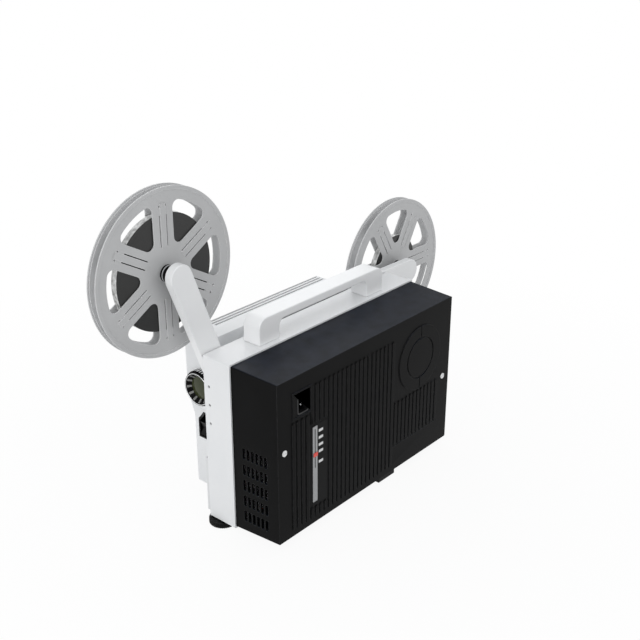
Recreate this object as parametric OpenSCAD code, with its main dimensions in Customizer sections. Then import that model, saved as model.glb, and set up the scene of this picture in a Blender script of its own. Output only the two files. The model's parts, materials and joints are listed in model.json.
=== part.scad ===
// Movie projector for 8 mm film, with two open reels on folding arms.
// X runs from the lens end to the rear, Y from the dark cover to the film side, Z up.
// Places below are measured from the dark cover's lower corner at the lens end.

/* [Dark cover] */
// Length of the dark cover
cover_l = 310; // [300:1:330]
// Height of the dark cover
cover_h = 194; // [190:1:210]
// Depth of the dark cover
cover_d = 61.5; // [58:0.5:70]
// How far the near face is drawn in on all four sides
cover_draft = 2.55; // [1:0.05:4]
// Wall thickness of the dark cover
cover_wall = 2.5; // [2:0.1:3]
// Corner radius of the dark cover
cover_r = 1.5; // [1:0.1:3]

/* [Ribs and relief] */
// Distance from one rib to the next
rib_pitch = 7.3; // [6.5:0.1:9]
// Width of one rib
rib_w = 4.2; // [3:0.1:5]
// Height of the ribs above the face
rib_raise = 1; // [0.6:0.1:1.5]
// Outer radius of the round relief
ring_r = 40; // [34:0.5:42]
// Height of the round relief above the face
ring_raise = 1.2; // [0.8:0.1:1.6]

/* [White housing] */
// Depth of the white housing
slab_d = 38.5; // [36:0.5:44]
// How far the white housing stands out round the dark cover
slab_over = 1.75; // [1:0.05:3]
// Wall thickness of the white housing
slab_wall = 3; // [2.5:0.1:4]
// Thickness of the wall that carries the mechanism
web_t = 3.5; // [3:0.1:5]
// Corner radius of the white housing
slab_r = 1.5; // [1:0.1:3]
// Thickness of the mechanism plate
plate_t = 5.4; // [4:0.1:7]

/* [Film side] */
// Depth of the film side housing
film_d = 52.6; // [50:0.1:56]
// Wall thickness of the film side housing
film_wall = 2.5; // [2:0.1:3]
// How far the film side housing stops short of the dark cover's rear end
film_rear_in = 65; // [55:1:70]
// Width of the slot that the front arm swings in
slot_w = 20; // [18:0.5:22]

/* [Handle] */
// Width of the handle's bar
handle_w = 24; // [20:1:28]
// Height of the handle above the housing
handle_h = 30.3; // [26:0.1:40]
// Thickness of the handle's bar
handle_bar = 9; // [7:0.5:11]
// Length of the handle
handle_l = 210; // [190:1:220]

/* [Lens] */
// Radius of the lens barrel
barrel_r = 10.5; // [9.5:0.1:11]
// Radius of the lens rim in front
lens_rim_r = 19; // [17:0.5:19.5]
// Radius of the knurled focus ring
focus_r = 20.5; // [20.5:0.5:22.5]
// Depth of the lens axis below the top of the dark cover
lens_drop = 55.5; // [55:0.1:56]

/* [Reels] */
// Radius of a reel
reel_r = 89; // [80:0.5:89]
// Width of a reel
reel_w = 13; // [12:0.5:14]
// Thickness of a reel's flange
flange_t = 1.4; // [1.2:0.1:1.6]
// Width of the film
film_w = 8; // [7.5:0.1:8.2]
// Radius of a reel's hub
hub_r = 17; // [14:0.5:20]
// Radius of the film wound on the front reel
front_film_r = 62; // [30:1:74]
// Radius of the film wound on the rear reel
rear_film_r = 42; // [25:1:74]
// Radius of a reel spindle
spindle_r = 4; // [3:0.1:5]

/* [Arms] */
// Thickness of the arms
arm_t = 10; // [8:0.5:10.5]
// Half width of the front arm at its spindle
front_arm_r = 14; // [12:0.5:16]
// Half width of the front arm at its pivot
front_pivot_r = 16; // [14:0.5:16]
// Half width of the rear arm
rear_arm_r = 15; // [12:0.5:15]
// Radius of the arm pivots
pivot_r = 5; // [4:0.1:6]

/* [Feet and knobs] */
// Height of the feet below the dark cover
foot_drop = 8; // [7:0.5:12]
// Radius of the levelling wheel
wheel_r = 16; // [14:0.5:18]
// Thickness of the levelling wheel
wheel_t = 5.5; // [4:0.1:6]
// Radius of the function knob
knob_r = 17; // [14:0.5:20]
// Height of the function knob
knob_h = 14; // [10:0.5:18]
// Radius of the inching knob
inching_r = 11; // [9:0.5:12]

/* [Drive] */
// Radius of the motor pulley
motor_pulley_r = 6; // [5:0.5:7]
// Radius of the main pulley
main_pulley_r = 24; // [20:0.5:24.5]
// Radius of the fan
fan_r = 36; // [32:0.5:37]
// Radius of the shutter
shutter_r = 22.5; // [21.5:0.1:22.8]
// Radius of the film sprockets
sprocket_r = 9; // [8.5:0.1:9.2]
// Radius of the drive shafts
shaft_r = 3; // [2.5:0.1:3]

/* [Hidden] */
$fn = 48;
// Overrun of every cut
cut = 0.2;
// Clearance between pieces that move past each other
gap = 0.3;
// Radial clearance of a shaft in its bore
fit = 0.05;
// Thickness of thin raised trim
trim = 0.6;

// Sides of the white housing
slab_x0 = -slab_over;
slab_x1 = cover_l + slab_over;
slab_z0 = -slab_over;
slab_z1 = cover_h + slab_over;
slab_y0 = cover_d;
slab_y1 = slab_y0 + slab_d;
web_y0 = slab_y1 - web_t;
plate_y1 = slab_y1 + plate_t;
film_y1 = plate_y1 + film_d;
film_in_y = film_y1 - film_wall;
lens_z = cover_h - lens_drop;

// Film side housing
film_front_x = 35;
film_rear_x = cover_l - film_rear_in;
nose_x = 26;
nose_drop = 50;
nose_z = slab_z1 - nose_drop;
nose_curve_h = 55;
film_lift = 3.8;
film_z0 = film_lift;
slot_y1 = slab_y1 + slot_w;
slot_end_x = 48;
slot_ramp_x = 80;
groove_w = 2.4;
groove_pitch = 5.3;
groove_edge = 1.4;
groove_depth = 1.4;
groove_x0 = 60;
groove_end = 2;

// Film path, all tied to the lens axis
film_line = 25.1;
film_y = plate_y1 + film_line;
gate_x = 62;
gate_t = 2.5;
gate_w = 27;
gate_up = 13.5;
gate_down = 38.5;
gate_step = 8.5;
aperture_w = 5.5;
aperture_h = 4;
pressure_t = 3;
pressure_w = 12;
pressure_l = 25;
pin_r = 1.2;

// Shutter, claw and gears
shutter_drop = 17;
shutter_z = lens_z - shutter_drop;
shutter_back = 12;
shutter_x = gate_x + shutter_back;
shutter_t = 1;
worm_r = 7;
main_gear_r = 9;
gear_gap = 0.2;
main_back = 33;
main_x = gate_x + main_back;
main_z = shutter_z - worm_r - main_gear_r - gear_gap;
sprocket_back = 7;
sprocket_x = gate_x + sprocket_back;
sprocket_up = 24;
sprocket_down = 53.5;
upper_z = lens_z + sprocket_up;
lower_z = lens_z - sprocket_down;
pinion_r = 8;
lower_gear_r = norm([main_x - sprocket_x, main_z - lower_z]) - pinion_r - gear_gap;
idler_r = (upper_z - lower_z) / 2 - lower_gear_r - gear_gap;
idler_z = (upper_z + lower_z) / 2;
gear_t = 5;
gear_y0 = web_y0 - 3 * gear_t;
tooth_h = 1.2;
tooth_pitch = 3.4;
// Each flank point of a tooth: its place as a share of the pitch, and its depth as a share of the height
tooth_flanks = [[-0.3, 1], [-0.16, 0], [0.16, 0], [0.3, 1]];

// Motor, fan and belt, seen through the round relief
ring_back = 64;
ring_x = cover_l - ring_back;
ring_drop = 60;
ring_z = cover_h - ring_drop;
motor_r = 29;
stack_half = 27;
stack_t = 18;
post_off = 21;
post_r = 3.5;
post_l = 20;
stack_y1 = web_y0 - post_l;
stack_y0 = stack_y1 - stack_t;
bell_t = 7;
fan_case_wall = 2;
fan_case_gap = 3;
fan_case_y0 = cover_wall + 8 * trim;
fan_inlet_r = 22;
belt_w = 3.4;
belt_t = 2;
belt_y0 = web_y0 - gear_t - belt_w / 2;
pulley_flange = 1.2;

// Reels
reel_y0 = film_y - reel_w / 2;
reel_y1 = film_y + reel_w / 2;
spoke_half = 13;
window_r = 75;
window_corner_r = 7;
window_steps = 8;
spokes = 6;
front_reel_turn = 30;
rear_reel_turn = 0;
spoke_turn = 360 / spokes;
strip_slot_half = 0.6;
strip_slot_off = 4.3;
strip_slot_r0 = 28;
strip_slot_r1 = 61;
hole_at = 70;
hole_r = 1.1;
strip_w = 7;
strip_r0 = 27;
strip_r1 = 73;
strip_raise = 0.5;
reel_rim_w = 4;
reel_rim_raise = 0.7;

// Arms
arm_gap = 1.5;
arm_y0 = slab_y1 + arm_gap;
arm_y1 = arm_y0 + arm_t;
pivot_drop = 27.75;
front_pivot_x = 19.5;
front_pivot_z = slab_z1 - pivot_drop;
front_reach_x = 42;
front_reach_z = 118.5;
front_reel_x = front_pivot_x - front_reach_x;
front_reel_z = front_pivot_z + front_reach_z;
rear_pivot_in = 11.75;
rear_drop = 12.75;
rear_pivot_x = slab_x1 - rear_pivot_in;
rear_pivot_z = slab_z1 - rear_drop;
rear_reach_x = 62.9;
rear_reach_z = 1.3;
rear_reel_x = rear_pivot_x + rear_reach_x;
rear_reel_z = rear_pivot_z - rear_reach_z;
spindle_collar_r = 9.3;
bolt_head_r = 8;
bolt_head_t = 2.5;

// Smaller sizes of the pieces
pillar_r = 4.5;
cover_screw_r = 2;
cover_screw_head = 3.5;
front_screw_in = 12.8;
rear_screw_in = 14.8;
front_screw_drop = 83.9;
rear_screw_drop = 103;
cover_screw_x = [front_screw_in, cover_l - rear_screw_in];
cover_screw_z = [cover_h - front_screw_drop, cover_h - rear_screw_drop];
bush_r = 5;
foot_x = 7.3;
wheel_foot_in = 11;
foot_y = slab_y1 - wheel_foot_in;
stem_r = 4;
stem_l = 26;
stem_boss_r = 6.8;
stem_boss_h = 16;
handle_shift = 1;
handle_x0 = (cover_l - handle_l) / 2 + handle_shift;
handle_x1 = handle_x0 + handle_l;
front_leg = 31;
rear_leg = 30;
handle_leg = [front_leg, rear_leg];
handle_in = 7;
handle_y0 = slab_y0 + handle_in;
handle_y1 = handle_y0 + handle_w;
handle_z1 = slab_z1 + handle_h;
handle_r = 11;
handle_inner_r = 8;
handle_screw_r = 2.5;
handle_screw_l = 16;
handle_screw_head = 4.5;
handle_screw_x = [handle_x0 + handle_leg[0] / 2, handle_x1 - handle_leg[1] / 2];
dimple_r = 1.6;
dimple_depth = 1;
dimple_pitch = 22;
dimple_drop = 78.65;
dimple_z = slab_z1 - dimple_drop;
dimple_in = 7;
bush_l = 8;
bolt_r = 3.5;
plate_screw_r = 1.6;
plate_screw_head = 3;
plate_screw_in = 8;
plate_out = 17;
plate_x1 = film_rear_x + plate_out;
plate_screw_places = [[plate_screw_in, plate_screw_in + film_lift],
                      [plate_x1 - plate_screw_in, plate_screw_in + film_lift],
                      [plate_x1 - plate_screw_in, slab_z1 - 2 * plate_screw_in]];
bush_places = [[main_x, main_z], [sprocket_x, upper_z], [sprocket_x, idler_z], [sprocket_x, lower_z]];
inlet_x0 = 33.4;
inlet_w = 18.2;
inlet_x1 = inlet_x0 + inlet_w;
inlet_drop = 22.6;
inlet_z1 = cover_h - inlet_drop;
inlet_h = 26.5;
inlet_z0 = inlet_z1 - inlet_h;
inlet_frame_x0 = 25;
inlet_frame_x1 = 55;
inlet_frame_drop = 20.3;
inlet_frame_h = 31.7;
inlet_frame_z1 = cover_h - inlet_frame_drop;
inlet_frame_z0 = inlet_frame_z1 - inlet_frame_h;
inlet_frame_w = 2;
selector_x0 = 56;
selector_w = 24;
selector_z0 = 24;
selector_h = 99;
selector_t = 1.5;
rail_w = 7.3;
rail_z0 = 29.4;
rail_h = 92.6;
rail_raise = 0.8;
slot_half = 0.7;
tab_z = 88.2;
tab_down = 12;
tab_up = 26;
tab_h = 4.6;
tab_stem_half = 0.5;
rib_x0 = 24;
rib_end = 24;
rib_x1 = cover_l - rib_end;
rib_z0 = 9;
rib_drop = 22;
rib_z1 = cover_h - rib_drop;
label_l = 87;
label_x0 = rib_x1 - label_l;
label_z1 = 35;
ring_panel_down = 41;
ring_panel_z0 = ring_z - ring_panel_down;
ring_inner_r = 26;
ring_disc_r = 24;
ring_slot_w = 1.4;
grille_cols = 6;
grille_rows = 5;
grille_y0 = 16.8;
grille_pitch = 6;
grille_z0 = 13;
grille_pitch_z = 19.3;
grille_slot_w = 4.2;
grille_slot_h = 13.6;
near_foot_in = 130;
near_foot_x0 = cover_l - near_foot_in;
near_foot_l = 30;
near_foot_y0 = 5;
near_foot_w = 10;
screw_sink = 1;
cover_screw_l = 20;
inlet_depth = 24;
inlet_wall = 1.6;
inlet_corner_r = 4;
inlet_floor = 3;
inlet_pin_r = 1.3;
inlet_pin_up = 4;
inlet_pin_l = 20;
inlet_mid_x = (inlet_x0 + inlet_x1) / 2;
inlet_mid_z = (inlet_z0 + inlet_z1) / 2;
keeper_t = 1.5;
plate_step_drop = 125.75;
plate_step_z = slab_z1 - plate_step_drop;
slot_floor_z = front_pivot_z - front_pivot_r - gap;
housing_screw_in = 9;
housing_screw_places = [[film_front_x + housing_screw_in, film_lift + housing_screw_in],
                        [film_rear_x - housing_screw_in, film_lift + housing_screw_in],
                        [film_rear_x - housing_screw_in, slab_z1 - 2 * housing_screw_in]];
housing_post_r = 5;
far_foot_r = 8;
far_foot_in = 20;
knurl_count = 40;
focus_knurls = 48;
knurl_r = 0.8;
bell_r = motor_r - 2 * trim;
rotor_shaft_r = 3;
motor_bore_r = rotor_shaft_r + fit;
fan_case_y1 = stack_y0 - bell_t;
fan_y1 = fan_case_y1 - fan_case_wall - fan_case_gap;
fan_y0 = fan_case_y0 + fan_case_wall + fan_case_gap;
fan_blades = 12;
fan_blade_t = 1.2;
fan_blade_l = 16;
fan_hub_r = 8;
fan_disc_t = 2;
fan_case_r = fan_r + fan_case_gap;
core_x0 = 120;
core_l = 66;
core_h = 56;
coil_t = 12;
core_t = slab_d - web_t - coil_t - gap;
core_y1 = web_y0;
core_leg = 12;
core_z0 = slab_z0 + slab_wall;
winding_gap = 0.1;
board_off = 24;
board_x0 = core_x0 + core_l + board_off;
board_l = 44;
board_z0 = 8;
board_h = 44;
board_t = 1.6;
board_clear = 14;
board_y0 = web_y0 - board_clear;
board_in = 5;
standoff_r = 2.6;
standoff_pin_r = 1.2;
standoff_places = [for (x = [board_x0 + board_in, board_x0 + board_l - board_in],
                        z = [board_z0 + board_in, board_z0 + board_h - board_in]) [x, z]];
chip_t = 3;
chip_l = 14;
cap_r = 5;
cap_l = 12;
door_x0 = 114;
door_end = 9;
door_x1 = film_rear_x - door_end;
door_z0 = 30;
door_drop = 24;
door_z1 = slab_z1 - door_drop;
door_r = 5;
hinge_r = 3;
hinge_pin_r = 1.4;
hinge_in = 24;
hinge_x = door_x1 + hinge_r;
hinge_y = film_y1 + hinge_r + gap;
hinge_z = [door_z0 + hinge_in, door_z1 - hinge_in];
knob_x = 66;
knob_z = 44;
knob_shaft_r = 3;
framing_x = 84;
framing_up = 12;
framing_z = lens_z + framing_up;
framing_r = 7;
framing_h = 8;
switch_in = 5.4;
switch_y1 = film_y1 - switch_in;
switch_w = 28;
switch_drop = 132.1;
switch_z0 = slab_z1 - switch_drop;
switch_h = 23.3;
switch_corner_w = 11.6;
switch_corner_h = 13.3;
switch_wall = 2;
switch_depth = 16;
holder_wall = 1.9;
holder_r = barrel_r + fit + holder_wall;
film_slot_w = 12;
film_slot_l = 8;
film_exit_h = 18;
nose_steps = 6;
hinge_knuckle = 5;
door_vent_in = 20;
door_vent_side = 26;
door_vent_pitch = 10;
rocker_in = 6;
rocker_x = film_front_x + rocker_in;
rocker_z = switch_z0 + switch_h / 2;
rocker_rise = 3;
holder_x1 = 50;
holder_flange_x0 = 40;
holder_flange_t = 3;
holder_foot_h = 14;
barrel_x1 = 54;
rim_x0 = 15;
rim_t = 2.2;
rim_wall = 2;
glass_r = 12;
glass_t = 4;
glass_x = 21;
rear_glass_r = 7;
focus_x0 = rim_x0 + rim_t + gap;
focus_t = nose_x - gap - focus_x0;
glass_bow = 26;
gate_foot_l = 12;
gate_foot_t = 2;
claw_slot_w = 2;
claw_slot_h = 6.4;
claw_off = 4.2;
gate_pin_l = 7.5;
gate_pin_in = 2.4;
film_gap = 0.3;
cam_r = 5;
cam_t = 3;
cam_x = gate_x + gate_t + 3;
claw_travel = 2.1;
claw_t = 1.4;
claw_z = shutter_z + cam_r + claw_travel + gap + claw_t;
claw_half = 8;
claw_tip = 2.5;
shutter_shaft_l = 42;
blade_half_share = 0.36;
bearing_t = 4;
bearing_x0 = shutter_x + 2 * cam_t;
bearing_r = 6;
axle_r = 2.5;
sprocket_w = 9;
sprocket_y0 = film_y - sprocket_w / 2;
sprocket_teeth = 12;
sprocket_tooth = 0.9;
shoe_gap = 1;
shoe_t = 2;
roller_r = 6;
roller_axle_r = 2;
roller_in = 33;
roller_x = film_rear_x - roller_in;
roller_drop = 33.5;
roller_z = lens_z - roller_drop;
film_exit_z = roller_z - film_exit_h / 2;
reflector_r = 20;
reflector_x0 = 114;
reflector_l = 18;
reflector_neck_r = 5;
reflector_wall = 1.2;
reflector_steps = 8;
lamp_glass_r = 4;
lamp_glass_l = 15;
lamp_base_r = 4.6;
lamp_base_l = 8;
lamp_x0 = reflector_x0 + reflector_l;
lamp_plate_t = 2;
spindle_seat = 3;
spindle_tip = 4;
spline_w = 1.2;
reel_bore_r = spindle_r + fit;

// The origin is under the middle of the part, between its outermost pieces
knob_gap = gap;
tab_raise = 1.8;
mid_x = (front_reel_x + rear_reel_x) / 2;
mid_y = (film_y1 + knob_gap + knob_h - tab_raise) / 2;

// Colours
white = [0.87, 0.88, 0.88];
dark = [0.12, 0.12, 0.13];
grey = [0.62, 0.63, 0.64];
steel = [0.7, 0.71, 0.73];
brass = [0.78, 0.66, 0.36];

module place() translate([-mid_x, -mid_y, foot_drop]) children();

// Extrudes an outline drawn in X and Z along Y
module along_y(y0, y1) {
    translate([0, y1, 0]) rotate([90, 0, 0]) linear_extrude(y1 - y0) children();
}

// Extrudes an outline drawn in Y and Z along X
module along_x(x0, x1) {
    translate([x0, 0, 0]) rotate([90, 0, 90]) linear_extrude(x1 - x0) children();
}

module disc_y(x, z, r, y0, y1) {
    translate([x, y1, z]) rotate([90, 0, 0]) cylinder(r = r, h = y1 - y0);
}

module disc_x(y, z, r, x0, x1) {
    translate([x0, y, z]) rotate([0, 90, 0]) cylinder(r = r, h = x1 - x0);
}

module disc_z(x, y, r, z0, z1) {
    translate([x, y, z0]) cylinder(r = r, h = z1 - z0);
}

module block(x0, x1, y0, y1, z0, z1) {
    translate([x0, y0, z0]) cube([x1 - x0, y1 - y0, z1 - z0]);
}

// Rectangle with round corners, made of squares and circles
module round_rect(x0, x1, z0, z1, r) {
    translate([x0 + r, z0]) square([x1 - x0 - 2 * r, z1 - z0]);
    translate([x0, z0 + r]) square([x1 - x0, z1 - z0 - 2 * r]);
    for (x = [x0 + r, x1 - r], z = [z0 + r, z1 - r]) translate([x, z]) circle(r);
}

// Screw along Y: the head lies at y0 and the shank ends at y1
module screw_y(x, z, head_r, head_t, shank_r, y0, y1) {
    side = y1 > y0 ? 1 : -1;
    head_y = y0 + side * head_t;
    difference() {
        disc_y(x, z, head_r, min(y0, head_y), max(y0, head_y));
        block(x - head_r, x + head_r, min(y0 - side * cut, y0 + side * trim), max(y0 - side * cut,
                                                                                  y0 + side * trim),
              z - trim, z + trim);
    }
    disc_y(x, z, shank_r, min(head_y, y1), max(head_y, y1));
}

module slab_outline(inset) {
    round_rect(slab_x0 + inset, slab_x1 - inset, slab_z0 + inset, slab_z1 - inset, slab_r);
}

module main_housing() color(white) place() {
    difference() {
        union() {
            along_y(slab_y0, slab_y1) difference() {
                slab_outline(0);
                slab_outline(slab_wall);
            }
            along_y(web_y0, slab_y1) slab_outline(slab_wall / 2);
            for (i = [0, 1]) disc_y(cover_screw_x[i], cover_screw_z[i], pillar_r, slab_y0, web_y0 + cut);
            for (x = [-post_off, post_off], z = [-post_off, post_off])
                disc_y(ring_x + x, ring_z + z, post_r, stack_y1, web_y0 + cut);
            disc_z(foot_x, foot_y, stem_boss_r, slab_z0 + cut, slab_z0 + stem_boss_h);
            for (p = standoff_places) disc_y(p[0], p[1], standoff_r, board_y0 + board_t, web_y0 + cut);
            disc_y(front_pivot_x, front_pivot_z, pivot_r + slab_wall, web_y0 - bush_l, web_y0 + cut);
            disc_y(rear_pivot_x, rear_pivot_z, pivot_r + slab_wall, web_y0 - bush_l, web_y0 + cut);
        }
        for (i = [0, 1]) disc_y(cover_screw_x[i], cover_screw_z[i], cover_screw_r, slab_y0 - cut, web_y0);
        for (p = bush_places) disc_y(p[0], p[1], bush_r, web_y0 - cut, slab_y1 + cut);
        disc_z(foot_x, foot_y, stem_r + fit, slab_z0 - cut, slab_z0 + stem_boss_h + cut);
        for (x = handle_screw_x)
            disc_z(x, (handle_y0 + handle_y1) / 2, handle_screw_r + fit, slab_z1 - slab_wall - cut,
                   slab_z1 + cut);
        disc_y(front_pivot_x, front_pivot_z, bolt_r, web_y0 - bush_l - cut, slab_y1 + cut);
        disc_y(rear_pivot_x, rear_pivot_z, bolt_r, web_y0 - bush_l - cut, slab_y1 + cut);
        for (i = [0:2])
            disc_x(slab_y1 - dimple_in, dimple_z + i * dimple_pitch, dimple_r, slab_x0 - cut,
                   slab_x0 + dimple_depth);
        for (p = plate_screw_places) disc_y(p[0], p[1], plate_screw_r, web_y0 - cut, slab_y1 + cut);
    }
}

// Outline of a draught tapered box, lying in X and Z
module cover_slice(y, inset, thin) {
    lean = cover_draft * (1 - y / cover_d) + inset;
    along_y(y, y + thin) round_rect(lean, cover_l - lean, lean, cover_h - lean, cover_r);
}

// A rib from z0 to z1 with round ends
module rib(x, z0, z1) along_y(-rib_raise, rib_raise) {
    translate([x - rib_w / 2, z0 + rib_w / 2]) square([rib_w, z1 - z0 - rib_w]);
    for (z = [z0 + rib_w / 2, z1 - rib_w / 2]) translate([x, z]) circle(rib_w / 2);
}

module ribs() {
    for (x = [rib_x0 + rib_w / 2 : rib_pitch : rib_x1 - rib_w / 2]) {
        selector_x1 = selector_x0 + selector_w;
        if (x + rib_w / 2 < inlet_frame_x1) rib(x, rib_z0, inlet_frame_z0 - rib_w / 2);
        else if (x - rib_w / 2 < selector_x1) {
            rib(x, rib_z0, selector_z0 - trim);
            rib(x, selector_z0 + selector_h + rib_w / 2, rib_z1);
        }
        else if (x + rib_w / 2 < label_x0) rib(x, rib_z0, rib_z1);
        else rib(x, label_z1 + trim, ring_panel_z0 - trim);
    }
}

module ring_relief() {
    along_y(-ring_raise, ring_raise) translate([ring_x, ring_z]) {
        difference() {
            circle(ring_r);
            circle(ring_inner_r);
            square([ring_slot_w, 2 * ring_r + ring_slot_w], center = true);
        }
        circle(ring_disc_r);
    }
}

module back_cover() color(dark) place() {
    difference() {
        union() {
            difference() {
                hull() {
                    cover_slice(0, 0, cut);
                    cover_slice(cover_d - cut, 0, cut);
                }
                hull() {
                    cover_slice(cover_wall, cover_wall, cut);
                    cover_slice(cover_d, cover_wall, cut);
                }
            }
            ribs();
            ring_relief();
            along_y(-rib_raise, cover_wall / 2) difference() {
                square_at(inlet_frame_x0, inlet_frame_x1, inlet_frame_z0, inlet_frame_z1);
                square_at(inlet_frame_x0 + inlet_frame_w, inlet_frame_x1 - inlet_frame_w,
                          inlet_frame_z0 + inlet_frame_w, inlet_frame_z1 - inlet_frame_w);
            }
            block(label_x0, rib_x1, -trim, trim, label_z1 - trim, label_z1);
            for (i = [0, 1]) disc_y(cover_screw_x[i], cover_screw_z[i], pillar_r, cover_wall / 2, cover_d);
            block(near_foot_x0, near_foot_x0 + near_foot_l, near_foot_y0, near_foot_y0 + near_foot_w,
                  0, cover_draft + cover_wall);
        }
        for (i = [0, 1]) {
            disc_y(cover_screw_x[i], cover_screw_z[i], cover_screw_r + fit, -cut, cover_d + cut);
            disc_y(cover_screw_x[i], cover_screw_z[i], cover_screw_head + fit, -cut, screw_sink);
        }
        block(inlet_x0, inlet_x1, -cut, cover_wall + cut, inlet_z0, inlet_z1);
        block(selector_x0, selector_x0 + selector_w, -cut, selector_t, selector_z0, selector_z0 + selector_h);
        tab_slot();
        for (i = [0 : grille_cols - 1], j = [0 : grille_rows - 1])
            along_x(-cut, cover_draft + cover_wall + cut)
                translate([grille_y0 + i * grille_pitch - grille_slot_w / 2, grille_z0 + j * grille_pitch_z])
                    round_rect(0, grille_slot_w, 0, grille_slot_h, grille_slot_w / 2 - trim / 2);
    }
}

module square_at(x0, x1, z0, z1) translate([x0, z0]) square([x1 - x0, z1 - z0]);

// Slot that the selector's stem travels in, through the rail, the panel and the cover
module tab_slot() {
    block(selector_x0 + rail_w / 2 - slot_half, selector_x0 + rail_w / 2 + slot_half, -rail_raise - cut,
          cover_wall + cut, tab_z - tab_down - tab_h, tab_z + tab_up + tab_h);
}

module cover_screws() color("white") place() {
    for (i = [0, 1])
        screw_y(cover_screw_x[i], cover_screw_z[i], cover_screw_head, screw_sink + trim, cover_screw_r,
                -trim, cover_d + cover_screw_l);
}

// Socket shroud behind the hole in the near face
module mains_inlet() color([0.16, 0.16, 0.17]) place() {
    difference() {
        union() {
            along_y(trim, inlet_depth)
                round_rect(inlet_x0 + fit, inlet_x1 - fit, inlet_z0 + fit, inlet_z1 - fit, inlet_corner_r);
            along_y(cover_wall, cover_wall + inlet_wall)
                round_rect(inlet_x0 - inlet_floor, inlet_x1 + inlet_floor, inlet_z0 - inlet_floor,
                           inlet_z1 + inlet_floor, inlet_corner_r);
        }
        along_y(trim - cut, inlet_depth - inlet_floor)
            round_rect(inlet_x0 + inlet_wall, inlet_x1 - inlet_wall, inlet_z0 + inlet_wall,
                       inlet_z1 - inlet_wall,
                       inlet_corner_r - inlet_wall);
        for (s = [-1, 1])
            disc_y(inlet_mid_x, inlet_mid_z + s * inlet_pin_up, inlet_pin_r, inlet_depth - inlet_floor - cut,
                   inlet_depth + cut);
    }
}

module inlet_pins() color(steel) place() {
    for (s = [-1, 1])
        disc_y(inlet_mid_x, inlet_mid_z + s * inlet_pin_up, inlet_pin_r, inlet_depth - inlet_pin_l,
               inlet_depth + inlet_floor);
}

module selector_plate() color([0.2, 0.2, 0.21]) place() difference() {
    block(selector_x0 + fit, selector_x0 + selector_w - fit, 0, selector_t, selector_z0 + fit,
          selector_z0 + selector_h - fit);
    tab_slot();
}

module selector_rail() color([0.75, 0.76, 0.77]) place() difference() {
    block(selector_x0 + fit, selector_x0 + rail_w, -rail_raise, 0, rail_z0, rail_z0 + rail_h);
    tab_slot();
}

module selector_slider() color([0.8, 0.15, 0.12]) place() {
    mid = selector_x0 + rail_w / 2;
    back = cover_wall + gap / 2;
    block(selector_x0 + gap, selector_x0 + rail_w - gap, -tab_raise, -rail_raise - gap / 2, tab_z - tab_h / 2,
          tab_z + tab_h / 2);
    block(mid - tab_stem_half, mid + tab_stem_half, -tab_raise, back + keeper_t, tab_z - tab_h / 2,
          tab_z + tab_h / 2);
    block(selector_x0, selector_x0 + rail_w, back, back + keeper_t, tab_z - 2 * tab_h, tab_z + 2 * tab_h);
}

module handle() color(white) place() difference() {
    along_y(handle_y0, handle_y1) difference() {
        union() {
            round_rect(handle_x0, handle_x1, slab_z1, handle_z1, handle_r);
            square_at(handle_x0, handle_x1, slab_z1, handle_z1 - handle_r);
        }
        round_rect(handle_x0 + handle_leg[0], handle_x1 - handle_leg[1], slab_z1, handle_z1 - handle_bar,
                   handle_inner_r);
        square_at(handle_x0 + handle_leg[0], handle_x1 - handle_leg[1], slab_z1 - cut,
                  handle_z1 - handle_bar - handle_inner_r);
    }
    for (x = handle_screw_x)
        disc_z(x, (handle_y0 + handle_y1) / 2, handle_screw_r, slab_z1 - cut, slab_z1 + handle_screw_l);
}

module handle_screws() color(steel) place() {
    y = (handle_y0 + handle_y1) / 2;
    for (x = handle_screw_x) {
        disc_z(x, y, handle_screw_r, slab_z1 - slab_wall, slab_z1 + handle_screw_l);
        disc_z(x, y, handle_screw_head, slab_z1 - slab_wall - handle_screw_r, slab_z1 - slab_wall);
    }
}

module mechanism_plate() color([0.8, 0.81, 0.81]) place() difference() {
    along_y(slab_y1, plate_y1) polygon([
        [0, film_lift], [plate_x1, film_lift], [plate_x1, slab_z1 - slab_wall],
        [slot_ramp_x, slab_z1 - slab_wall], [slot_end_x, slot_floor_z], [film_front_x, slot_floor_z],
        [film_front_x, plate_step_z], [0, plate_step_z]]);
    for (p = bush_places) disc_y(p[0], p[1], bush_r, slab_y1 - cut, plate_y1 + cut);
    for (p = plate_screw_places) disc_y(p[0], p[1], plate_screw_r + fit, slab_y1 - cut, plate_y1 + cut);
    for (p = housing_screw_places) disc_y(p[0], p[1], plate_screw_r, slab_y1 - cut, plate_y1 + cut);
}

module case_screws() color(steel) place() {
    for (p = plate_screw_places)
        screw_y(p[0], p[1], plate_screw_head, plate_screw_r, plate_screw_r, plate_y1 + plate_screw_r,
                web_y0 + trim);
    for (p = housing_screw_places)
        screw_y(p[0], p[1], plate_screw_head, plate_screw_r, plate_screw_r, film_y1 + plate_screw_r, slab_y1);
}

module rubber_feet() color([0.1, 0.1, 0.1]) place() {
    block(near_foot_x0, near_foot_x0 + near_foot_l, near_foot_y0, near_foot_y0 + near_foot_w, -foot_drop, 0);
    for (x = [film_front_x + far_foot_in, film_rear_x - far_foot_in])
        disc_z(x, film_y1 - far_foot_r - film_wall, far_foot_r, -foot_drop, film_z0);
}

module levelling_stem() color(steel) place()
    disc_z(foot_x, foot_y, stem_r, -foot_drop + wheel_t / 2, slab_z0 + stem_l);

// Knurled wheel that turns on the stem
module levelling_wheel() color([0.75, 0.76, 0.77]) place() difference() {
    disc_z(foot_x, foot_y, wheel_r, -foot_drop, -foot_drop + wheel_t);
    disc_z(foot_x, foot_y, stem_r + fit, -foot_drop + wheel_t / 2 - fit, -foot_drop + wheel_t + cut);
    for (i = [0 : knurl_count - 1])
        translate([foot_x, foot_y, 0]) rotate(i * 360 / knurl_count)
            disc_z(wheel_r, 0, knurl_r, -foot_drop - cut, -foot_drop + wheel_t + cut);
}

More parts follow.
